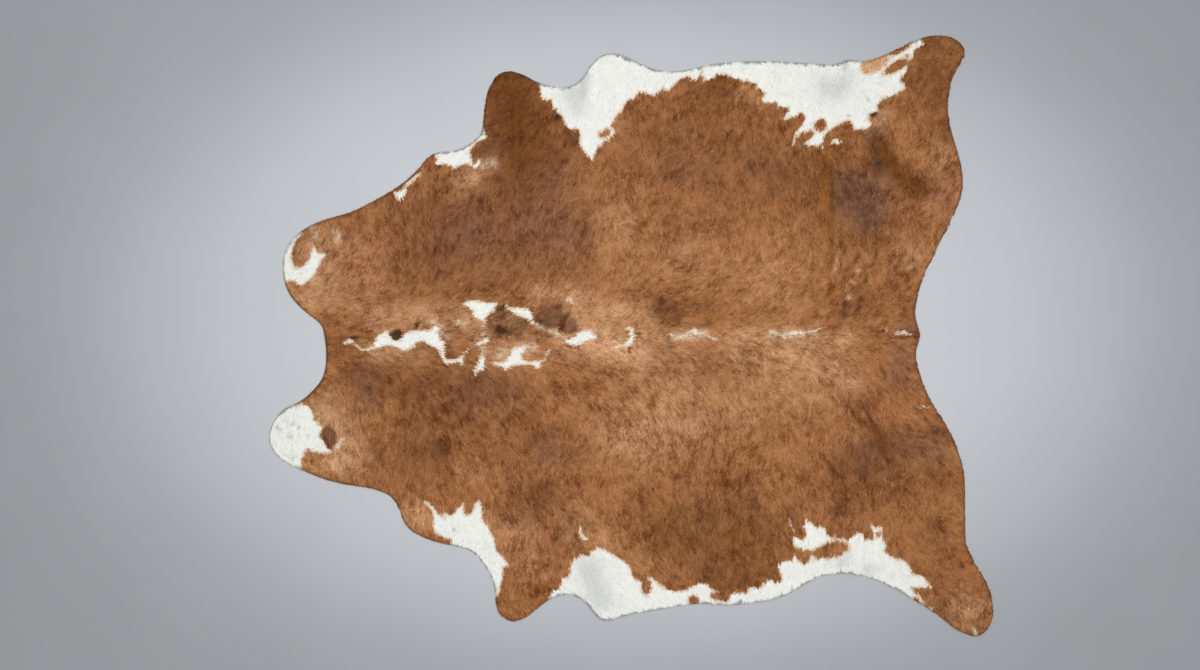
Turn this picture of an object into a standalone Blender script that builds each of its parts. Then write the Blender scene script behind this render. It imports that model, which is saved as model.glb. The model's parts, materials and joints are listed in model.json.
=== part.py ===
"""A brown and white cowhide rug: one trimmed piece of hair-on hide, lying flat on its skin side.

Sizes are metres. +X runs along the spine from the neck to the tail, +Y towards the right flank and
+Z up. The underside rests on Z = 0, and lifts off it only under a few soft folds.
"""

import math
from collections import namedtuple

import bpy
from mathutils import Vector
from mathutils.geometry import delaunay_2d_cdt, interpolate_bezier

SKIN = 0.0025  # the tanned leather
COAT = 0.0030  # the hair lying on it
EDGE_COAT = 0.0016  # the thinner hair at the trimmed edge
EDGE_ROUND = 0.004  # how far in from the trimmed edge the coat reaches EDGE_COAT
EDGE_FADE = 0.030  # how far in from there it reaches its full depth

COARSE_STEP = 0.100  # spacing of the surface points on flat hide
FINE_STEP = 0.020  # and across a fold
FOLD_REACH = 2.2  # a fold dies away within this many half widths
LONGEST_RIM_STEP = 0.040
WIDEST_RIM_TURN = math.radians(11.0)

# The trimmed outline, clockwise from above. Each row is a landmark where the curve passes, with the
# way it runs there, in degrees anticlockwise from +X. Between two landmarks the edge is one smooth arc.
Landmark = namedtuple("Landmark", "place x y heading")

NECK_END = (
    Landmark("notch, left side", -0.931, -0.080, 86),
    Landmark("notch, right side", -0.940, 0.020, 104),
    Landmark("right lobe, root", -0.976, 0.059, 142),
    Landmark("right lobe, inner corner", -1.035, 0.116, 126),
    Landmark("right lobe, tip", -1.062, 0.205, 92),
    Landmark("right lobe, outer corner", -1.025, 0.300, 47),
)
RIGHT_NECK = (
    Landmark("jaw", -0.950, 0.348, 22),
    Landmark("throat", -0.860, 0.375, 20),
    Landmark("neck", -0.735, 0.439, 30),
    Landmark("dewlap, start", -0.648, 0.508, 49),
    Landmark("dewlap, corner", -0.598, 0.556, 20),
    Landmark("brisket", -0.545, 0.562, 9),
    Landmark("foreleg, root", -0.472, 0.598, 40),
)
RIGHT_FORELEG = (
    Landmark("front edge", -0.451, 0.665, 84),
    Landmark("shank", -0.441, 0.735, 80),
    Landmark("front corner", -0.411, 0.789, 51),
    Landmark("tip", -0.360, 0.805, -3),
    Landmark("back edge", -0.290, 0.775, -21),
    Landmark("armpit", -0.200, 0.756, 2),
)
RIGHT_BELLY = (
    Landmark("shoulder lobe, front", -0.140, 0.795, 62),
    Landmark("shoulder lobe, tip", -0.062, 0.859, 2),
    Landmark("shoulder lobe, back", 0.020, 0.831, -23),
    Landmark("girth", 0.120, 0.805, -1),
    Landmark("belly", 0.250, 0.827, 9),
    Landmark("belly, widest", 0.380, 0.836, 0),
    Landmark("flank", 0.615, 0.826, -3),
    Landmark("flank crease", 0.662, 0.839, 8),
)
RIGHT_HIND_LEG = (
    Landmark("front edge, root", 0.712, 0.837, 7),
    Landmark("front edge", 0.800, 0.868, 25),
    Landmark("front corner", 0.880, 0.905, 20),
    Landmark("tip", 0.945, 0.915, -3),
    Landmark("back corner", 1.012, 0.880, -62),
    Landmark("heel", 0.998, 0.820, -121),
    Landmark("back edge", 0.965, 0.720, -96),
)
RUMP = (
    Landmark("right thigh", 0.990, 0.575, -73),
    Landmark("right thigh, corner", 1.010, 0.465, -93),
    Landmark("right buttock", 0.975, 0.352, -116),
    Landmark("right of the tail", 0.895, 0.190, -115),
    Landmark("tail, right bay", 0.865, 0.070, -97),
    Landmark("tail, tip", 0.880, 0.003, -90),
    Landmark("tail, left bay", 0.867, -0.055, -88),
    Landmark("left of the tail", 0.893, -0.155, -71),
    Landmark("left buttock", 0.952, -0.259, -58),
    Landmark("left thigh", 1.003, -0.370, -72),
    Landmark("left thigh, corner", 1.017, -0.500, -90),
)
LEFT_HIND_LEG = (
    Landmark("hock", 1.019, -0.625, -86),
    Landmark("back edge", 1.050, -0.695, -61),
    Landmark("heel", 1.0965, -0.785, -70),
    Landmark("tip", 1.1005, -0.857, -99),
    Landmark("tip corner", 1.062, -0.9125, -155),
    Landmark("front corner", 1.013, -0.9045, 163),
    Landmark("front edge", 0.930, -0.846, 147),
    Landmark("front edge, root", 0.790, -0.763, 152),
)
LEFT_BELLY = (
    Landmark("flank", 0.665, -0.723, 173),
    Landmark("flank bay", 0.590, -0.730, -170),
    Landmark("belly, rear", 0.480, -0.785, -154),
    Landmark("belly", 0.330, -0.817, -174),
    Landmark("belly, middle", 0.210, -0.816, 180),
    Landmark("girth", 0.080, -0.834, -170),
    Landmark("shoulder lobe, back", -0.030, -0.855, -165),
    Landmark("shoulder lobe, tip", -0.075, -0.866, 175),
    Landmark("shoulder lobe, front", -0.128, -0.822, 132),
    Landmark("armpit", -0.185, -0.787, 177),
)
LEFT_FORELEG = (
    Landmark("back edge", -0.270, -0.817, -144),
    Landmark("tip", -0.355, -0.869, -176),
    Landmark("front corner", -0.402, -0.843, 126),
    Landmark("front edge", -0.413, -0.775, 99),
    Landmark("root", -0.465, -0.673, 130),
)
LEFT_NECK = (
    Landmark("brisket", -0.570, -0.633, 167),
    Landmark("brisket, corner", -0.672, -0.590, 142),
    Landmark("dewlap", -0.708, -0.522, 111),
    Landmark("neck", -0.745, -0.481, 152),
    Landmark("throat", -0.850, -0.455, 172),
    Landmark("jaw", -0.960, -0.426, 158),
    Landmark("left lobe, outer corner", -1.060, -0.378, 146),
    Landmark("left lobe, tip", -1.103, -0.308, 90),
    Landmark("left lobe, inner corner", -1.070, -0.233, 51),
    Landmark("left lobe, root", -1.015, -0.201, 28),
    Landmark("notch, left bay", -0.955, -0.147, 50),
)
OUTLINE = (
    NECK_END + RIGHT_NECK + RIGHT_FORELEG + RIGHT_BELLY + RIGHT_HIND_LEG
    + RUMP + LEFT_HIND_LEG + LEFT_BELLY + LEFT_FORELEG + LEFT_NECK
)

# Soft ridges where the hide doesn't lie quite flat. Each runs from (x, y) to (to_x, to_y), is tallest
# halfway along and dies away to both ends. A buckle of the edge has its halfway point on the edge.
Fold = namedtuple("Fold", "name x y to_x to_y half_width rise")

FOLDS = (
    Fold("spine, loin", 0.000, 0.004, 0.500, 0.006, 0.018, 0.0030),
    Fold("spine, rump", 0.380, 0.005, 0.960, 0.002, 0.018, 0.0035),
    Fold("neck line", -1.040, -0.018, -0.800, -0.016, 0.016, 0.0022),
    Fold("flank fold", 0.596, 0.560, 0.624, 0.010, 0.018, 0.0050),
    Fold("flank wrinkle, front", 0.662, 0.310, 0.650, 0.100, 0.014, 0.0022),
    Fold("flank wrinkle, middle", 0.700, 0.315, 0.694, 0.110, 0.014, 0.0024),
    Fold("flank wrinkle, back", 0.738, 0.290, 0.746, 0.130, 0.014, 0.0020),
    Fold("flank crease at the edge", 0.672, 0.910, 0.640, 0.755, 0.016, 0.0050),
    Fold("right thigh, upper swell", 0.732, 0.720, 0.775, 0.470, 0.032, 0.0032),
    Fold("right thigh, lower swell", 0.730, 0.560, 0.940, 0.420, 0.032, 0.0032),
    Fold("left thigh swell", 0.720, -0.230, 0.820, -0.410, 0.038, 0.0032),
    Fold("right shoulder swell", -0.148, 0.460, -0.157, 0.060, 0.045, 0.0022),
    Fold("right shoulder buckle", -0.030, 0.960, -0.006, 0.705, 0.026, 0.0060),
    Fold("right armpit buckle", -0.215, 0.830, -0.115, 0.690, 0.022, 0.0045),
    Fold("left shoulder buckle", -0.120, -1.000, -0.082, -0.700, 0.026, 0.0060),
    Fold("left flank buckle", 0.682, -0.810, 0.648, -0.640, 0.024, 0.0050),
    Fold("left belly ripple", 0.305, -0.900, 0.290, -0.735, 0.030, 0.0028),
    Fold("right belly ripple", 0.430, 0.915, 0.415, 0.755, 0.030, 0.0028),
)

HAIR_BROWN = (0.30, 0.13, 0.05, 1.0)


def clear_scene():
    for obj in list(bpy.data.objects):
        bpy.data.objects.remove(obj)


def direction(heading):
    """The unit vector at this many degrees anticlockwise from +X."""
    angle = math.radians(heading)
    return Vector((math.cos(angle), math.sin(angle)))


def turn_between(start, end):
    """The angle from one heading to the other, in radians, the short way round."""
    degrees = (end - start + 180.0) % 360.0 - 180.0
    return abs(math.radians(degrees))


def arc_between(start, end):
    """Points from one landmark up to the next, leaving the next one out, along a Bezier arc."""
    first = Vector((start.x, start.y))
    last = Vector((end.x, end.y))
    chord = (last - first).length
    turn = turn_between(start.heading, end.heading)
    handle = chord / (3.0 * math.cos(turn / 4.0) ** 2)
    steps = max(2, math.ceil(turn / WIDEST_RIM_TURN), math.ceil(chord / LONGEST_RIM_STEP))
    points = interpolate_bezier(
        first,
        first + handle * direction(start.heading),
        last - handle * direction(end.heading),
        last,
        steps + 1,
    )
    return [Vector(point[:2]) for point in points[:-1]]


def trimmed_edge():
    """The whole outline as points, clockwise from above."""
    points = []
    for start, end in zip(OUTLINE, OUTLINE[1:] + OUTLINE[:1]):
        points += arc_between(start, end)
    return points


def moved_in(points, distance):
    """The outline moved inwards, square to itself."""
    moved = []
    for before, here, after in zip(points[-1:] + points[:-1], points, points[1:] + points[:1]):
        along = (after - before).normalized()
        inwards = Vector((along.y, -along.x))
        moved.append(here + distance * inwards)
    return moved


def place_on_line(point, start, end):
    """The share of the way from start to end of the nearest point of the line, ends included."""
    line = end - start
    share = (point - start).dot(line) / line.length_squared
    return min(max(share, 0.0), 1.0)


def distance_to_line(point, start, end):
    return (point - start.lerp(end, place_on_line(point, start, end))).length


def distance_to_edge(point, edge):
    return min(distance_to_line(point, a, b) for a, b in zip(edge, edge[1:] + edge[:1]))


def is_inside(point, edge):
    """True where a ray towards +X crosses the outline an odd number of times."""
    inside = False
    for a, b in zip(edge, edge[1:] + edge[:1]):
        if (a.y > point.y) == (b.y > point.y):
            continue
        crossing = a.x + (point.y - a.y) / (b.y - a.y) * (b.x - a.x)
        if point.x < crossing:
            inside = not inside
    return inside


def rise_of(fold, point):
    """The height of one fold here: a soft bell across, and a softer one along."""
    start, end = Vector((fold.x, fold.y)), Vector((fold.to_x, fold.to_y))
    across = distance_to_line(point, start, end) / (FOLD_REACH * fold.half_width)
    if across >= 1.0:
        return 0.0
    along = 2.0 * place_on_line(point, start, end) - 1.0
    return fold.rise * (1.0 - across * across) ** 3 * (1.0 - along * along)


def fold_rise(point):
    """How far the skin lifts off the floor here."""
    return max(rise_of(fold, point) for fold in FOLDS)


def coat_depth(inset):
    """The depth of the hair this far in from the rounded rim."""
    share = min(inset / EDGE_FADE, 1.0)
    return EDGE_COAT + (COAT - EDGE_COAT) * share * (2.0 - share)


def is_on_fold(point):
    return fold_rise(point) > 0.0


def surface_points(edge):
    """Points inside the edge: a wide triangular lattice, and a close one across the folds."""
    columns = int(1.2 / FINE_STEP)
    row_step = FINE_STEP * math.sqrt(0.75)
    rows = int(1.0 / row_step)
    every = round(COARSE_STEP / FINE_STEP)
    points = []
    for row in range(-rows, rows + 1):
        for column in range(-columns, columns + 1):
            point = Vector(((column + 0.5 * (row % 2)) * FINE_STEP, row * row_step))
            is_coarse = row % every == 0 and column % every == 0
            if not (is_coarse or is_on_fold(point)):
                continue
            if is_inside(point, edge) and distance_to_edge(point, edge) > 0.6 * FINE_STEP:
                points.append(point)
    return points


def filled(edge, inner):
    """The edge and the inner points joined by triangles that face up: (points, triangles)."""
    outline = list(range(len(edge)))
    points, _, triangles, *_ = delaunay_2d_cdt(edge + inner, [], [outline], 1, 1e-7)
    if len(points) != len(edge) + len(inner):
        raise ValueError("the outline crosses itself")
    upward = []
    for a, b, c in triangles:
        side, other = points[b] - points[a], points[c] - points[a]
        upward.append((a, b, c) if side.cross(other) > 0.0 else (a, c, b))
    return points, upward


def ring_faces(lower, upper, count):
    """Quads between two rings of the rim, which start at these vertices. They face outwards."""
    faces = []
    for here in range(count):
        after = (here + 1) % count
        faces.append((lower + here, upper + here, upper + after, lower + after))
    return faces


def hide_mesh():
    """The closed body: underside, cut edge, rounded rim and hair side."""
    edge = trimmed_edge()
    rim = moved_in(edge, EDGE_ROUND)
    inner = surface_points(rim)
    count = len(edge)

    under_points, under_faces = filled(edge, [point for point in inner if is_on_fold(point)])
    top_points, top_faces = filled(rim, inner)

    vertices = [(point.x, point.y, fold_rise(point)) for point in under_points]
    cut_edge = len(vertices)
    vertices += [(point.x, point.y, fold_rise(point) + SKIN) for point in edge]
    hair_side = len(vertices)
    for point in top_points:
        depth = coat_depth(distance_to_edge(point, rim))
        vertices.append((point.x, point.y, fold_rise(point) + SKIN + depth))

    faces = [(a, c, b) for a, b, c in under_faces]
    faces += ring_faces(0, cut_edge, count)
    faces += ring_faces(cut_edge, hair_side, count)
    faces += [tuple(hair_side + corner for corner in face) for face in top_faces]

    mesh = bpy.data.meshes.new("hide")
    mesh.from_pydata(vertices, [], faces)
    mesh.validate()
    return mesh


def hair_material():
    material = bpy.data.materials.new("hair coat")
    material.use_nodes = True
    shader = material.node_tree.nodes["Principled BSDF"]
    shader.inputs["Base Color"].default_value = HAIR_BROWN
    shader.inputs["Roughness"].default_value = 0.7
    material.diffuse_color = HAIR_BROWN
    return material


def main():
    clear_scene()
    hide = bpy.data.objects.new("hide", hide_mesh())
    hide.data.materials.append(hair_material())
    bpy.context.scene.collection.objects.link(hide)


main()
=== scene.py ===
"""The looks of the cowhide rug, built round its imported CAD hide.

The leather is a thin closed sheet and the undercoat a closed shell on it. Over them the hair lies as some
290,000 flat locks, each turned to the lie of the coat and coloured by the markings at its place.
Lengths are in metres, except in the lists of markings, which are in millimetres. +X runs from the neck to
the tail, +Y towards the right flank, and the floor is at Z 0.
"""

import json
import math
from collections import namedtuple

import bpy
import numpy as np
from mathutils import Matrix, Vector
from mathutils.bvhtree import BVHTree
from mathutils.geometry import delaunay_2d_cdt

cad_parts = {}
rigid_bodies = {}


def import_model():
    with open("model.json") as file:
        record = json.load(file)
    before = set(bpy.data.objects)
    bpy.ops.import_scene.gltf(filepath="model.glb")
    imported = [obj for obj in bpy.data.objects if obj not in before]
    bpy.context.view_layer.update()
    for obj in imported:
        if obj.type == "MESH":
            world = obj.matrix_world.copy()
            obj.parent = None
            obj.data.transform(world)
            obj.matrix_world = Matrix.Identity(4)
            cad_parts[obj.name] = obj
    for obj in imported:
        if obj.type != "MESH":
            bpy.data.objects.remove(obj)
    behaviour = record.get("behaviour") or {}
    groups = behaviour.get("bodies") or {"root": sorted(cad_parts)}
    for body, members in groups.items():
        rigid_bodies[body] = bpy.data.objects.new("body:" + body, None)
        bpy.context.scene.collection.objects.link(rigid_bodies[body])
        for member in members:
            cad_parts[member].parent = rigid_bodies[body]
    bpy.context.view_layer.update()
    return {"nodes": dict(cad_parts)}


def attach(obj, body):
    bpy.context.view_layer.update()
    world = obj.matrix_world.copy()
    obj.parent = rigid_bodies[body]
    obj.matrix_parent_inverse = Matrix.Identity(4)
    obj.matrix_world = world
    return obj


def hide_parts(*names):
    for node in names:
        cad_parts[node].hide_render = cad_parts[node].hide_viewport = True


# --- Sizes of the layers ------------------------------------------------------------------------------

LEATHER = 0.0024  # thickness of the tanned skin under the hair
LEATHER_STEP = 0.022
UNDERCOAT_STEP = 0.010
UNDERCOAT_INSET = 0.0016  # the undercoat stops this far inside the cut edge
UNDERCOAT_SINK = 0.0008  # it lies this far under the outer hair
UNDERCOAT_OVERLAP = 0.0004  # and its underside goes this far into the leather
EDGE_ROLL = 0.005  # the coat turns down over the last few millimetres
EDGE_ROLL_SHARE = 0.8  # by this share of the hair's depth
RIM_SPANS = 3  # steps that each edge of the CAD outline is rounded in

LOCK_SPACING = 0.00338
LOCK_LENGTH = 0.0185
LOCK_LENGTH_SPREAD = 0.28
LOCK_LENGTH_LIMITS = (0.5 * LOCK_LENGTH, 1.7 * LOCK_LENGTH)
LOCK_WIDTH = 0.0036
LOCK_WIDTH_SPREAD = (0.75, 1.25)
LOCK_ROOT_SHARE = 0.7  # a root's width beside the middle's
LOCK_BEND = 0.06  # sideways, as a share of the length
LOCK_SINK = 0.0010  # its root goes this far into the undercoat
LOCK_RISE = 0.0011  # its middle stands this far above it
LOCK_RISE_SPREAD = (0.5, 1.3)
LOCK_TIP_RISE = 0.25  # the tip's rise beside the middle's
LOCK_TURN_SPREAD = 0.20  # radians either side of the lie
LOCK_ROLL = 0.0006  # one long side stands higher than the other by up to this
LOCK_JITTER = 0.42  # how far roots stray from an even lattice, in steps of it
ROOT_MARGIN = 0.0012  # roots stay this far inside the cut edge
TIP_OVERHANG = 0.0025  # how far hair may reach past it
TIP_DROOP = 0.8  # how far its tip drops for each unit past it
LOWEST_HAIR = 0.0003  # above the floor
STREAK_RELIEF = 0.0006
RELIEF_MARGIN = 0.020  # creases fade out over this distance from the cut edge
STREAK_MARGIN = 0.012  # and streaks over this one
EDGE_RISE = 0.45  # the rise of locks at the edge beside those further in
SHORTENINGS, SHORTER = 6, 0.75  # how a lock that reaches too far out is shortened
SEEN_AT = 0.6  # how far along a lock its colour is read
# A lock's points are two at the root, two at the middle and the tip.
LOCK_TRIANGLES = np.array([(0, 1, 3), (0, 3, 2), (2, 3, 4)])
LOCK_ON_MAP = np.array([(0.15, 0), (0.85, 0), (0, 0.5), (1, 0.5), (0.5, 1)])
BAKE_SHRINK = 0.45  # the size of a lock on the baking map beside its place there
BAKE_BORDER = 0.004
LOCK_BANDS = ("hair_neck", "hair_shoulder", "hair_girth", "hair_flank", "hair_rump")

# --- The lie of the hair ------------------------------------------------------------------------------

SPINE_ANGLE = 0.35  # radians from straight back, beside the spine
FLANK_ANGLE = 1.38
SPINE_REACH = 0.30  # distance from the spine at which the hair has turned fully outward
RUMP_TURN = 0.35  # how much further back it turns on the hind legs
RUMP_FROM, RUMP_TO = 0.70, 1.05
LIE_WANDER = 0.22
WANDER_REACHES = (0.060, 0.018)
PARTING = 0.004  # how far from the spine the two sides part

# --- The grid that the fields lie on ------------------------------------------------------------------

GRID_STEP = 0.003
GRID_HALF_LENGTH, GRID_HALF_WIDTH = 1.170, 0.981  # past the hide on every side
GRID_X = np.arange(-GRID_HALF_LENGTH, GRID_HALF_LENGTH, GRID_STEP)
GRID_Y = np.arange(-GRID_HALF_WIDTH, GRID_HALF_WIDTH, GRID_STEP)
GRID_SHAPE = (len(GRID_X), len(GRID_Y))
CAST_EVERY = 3  # the CAD surface is read at every third grid point
CAST_BLUR = 0.010  # smooths the CAD's facets
CAST_BLUR_BEYOND = 0.040  # carries its heights on past the edge
CAST_TRUST = (0.02, 0.20)  # the share of known points at which the one gives way to the other
OUTLINE_REACH = 0.060  # how far from the cut edge the distance to it is worked out
PATCH_REACH = 0.040
WHITE_REACH = 0.030
PATCH_SPANS = 3  # steps that each edge of a patch is rounded in
ISLET_MARGIN = 0.010
TONE_CUTOFF = 2.5  # a tone is left off past this many times its reach

# --- Floor, light and camera --------------------------------------------------------------------------

FLOOR_SIZE = 40.0
FLOOR_COLOUR = (0.820, 0.847, 0.885, 1)
FLOOR_LIGHT_CENTRE = (0, 0.05, 0)
FLOOR_LIGHT_REACH = (7.36, 4.64, 1)  # half the length and width of its oval of painted light
# Painted light on the floor: how pale it is, from out at its reach, at 0, to its centre, at 1.
FLOOR_PAINTED_LIGHT = [(0, 0.57), (0.50, 0.46), (0.70, 0.385), (0.84, 0.565), (1, 0.72)]
CAMERA_PLACE = (-0.0946, 0.0030, 5.083)
LENS = 50.0
KEY_PLACE = (0.03, 0, 3.0)
KEY_AIM = (0.03, 0, 0)
KEY_SIZE = (3.4, 2.4)
KEY_POWER = 68.5
SIDE_PLACE = (-1.5, 3.2, 2.2)
SIDE_SIZE = (1.4, 1.4)
SIDE_POWER = 14.0
AMBIENT = 0.58
AMBIENT_COLOUR = (0.96, 0.98, 1, 1)

# --- Colours, as sRGB ---------------------------------------------------------------------------------

BROWN = "925E37"
WHITE = "E3E2DC"
CREAM = "D3BFA5"
COLOURS = {
    "dark": "6F4222",
    "umber": "4F2B12",
    "russet": "683A10",
    "brindle": "5E3F2B",
    "greyish": "6B4A3C",
    "purple": "664534",
    "rosy": "AE7857",
    "blush": "B68963",
    "tan": "B5835A",
    "pale": "C2916B",
    "golden": "905A20",
    "fold": "804C1A",
    "olive": "8E6A3C",
    "greytan": "AC8157",
    "neutral": "7B5236",
    "spot": "6E4831",
    "black": "4A3121",
    "cream": "D3BFA5",
    "wedge": "C3966E",
    "shade": "C4C5C2",
    "speck": "B5B3AE",
}
SUEDE_DARK = "B7A083"
SUEDE_PALE = "D9CBB4"
# Painted shade: the undercoat between the locks is darker by this factor.
UNDERCOAT_SHADE = 0.72
LOCK_PAINTED_SHADING = np.array([0.70, 0.70, 1.00, 1.00, 1.10])  # of its two root, two middle and one tip points: painted shade at the root, a lighter tip
PALE_EVENNESS = 0.8  # how much of that painted root shade and lighter tip pale hair loses
PALE_RANGE = (0.5, 0.8)  # the brightness over which hair turns from brown to pale
RIM_WIDTH = 0.007  # hair is darker this near the cut edge: painted shade where the coat rolls down, and the darker leather edge
RIM_SHADE_AND_LEATHER = 0.42
PALE_RIM_SHADE_AND_LEATHER = 0.62
PALE_CAST = np.array([0.85, 1.15, 1.45])  # light hair is pinker than the brown round it
DARK_CAST = np.array([0.95, 1.20, 1.50])  # and dark hair is redder

# How the lightness varies: along streaks of two grains, in soft blotches, and from lock to lock.
FINE_COMB, BROAD_COMB = 0.010, 0.018  # the lengths of the streaks
BROAD_GRAIN = 0.005
FINE_LIGHT, BROAD_LIGHT, LOCK_LIGHT = 0.120, 0.095, 0.155
Blotch = namedtuple("Blotch", "light seed reach")
BLOTCHES = [Blotch(0.080, 25, 0.005), Blotch(0.080, 23, 0.016), Blotch(0.055, 24, 0.050)]
PALEST, DARKEST = 0.5, 0.6  # the most that they add and take away
WHITE_LIGHTS = (0.010, 0.014, 0.008)  # fine, broad and lock to lock, in white hair
RAGGED_BORDER = (0.0020, 0.0020, 0.0015)  # how far they carry a marking's border along the lie
BORDER_SCATTER = 0.0009
BORDER_FADE = (-0.0018, 0.0016)  # from brown to cream, by the depth inside the white
CREAM_FADE = (0.0015, 0.0080)  # and from cream to white
SPOT_FADE = (-0.004, 0.002)

# --- Markings -----------------------------------------------------------------------------------------
# They are placed one by one, in millimetres here. Each row names the part of the hide that it is on.

Tone = namedtuple("Tone", "name x y to_x to_y reach colour strength")
Stroke = namedtuple("Stroke", "name x y to_x to_y half_width")
Islet = namedtuple("Islet", "name x y half_length half_width turn colour")
Patch = namedtuple("Patch", "name colour strength softness points")
Crease = namedtuple("Crease", "name x y to_x to_y half_width rise")
LENGTH_FIELDS = {"x", "y", "to_x", "to_y", "reach", "half_length", "half_width", "softness", "rise"}
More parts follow.
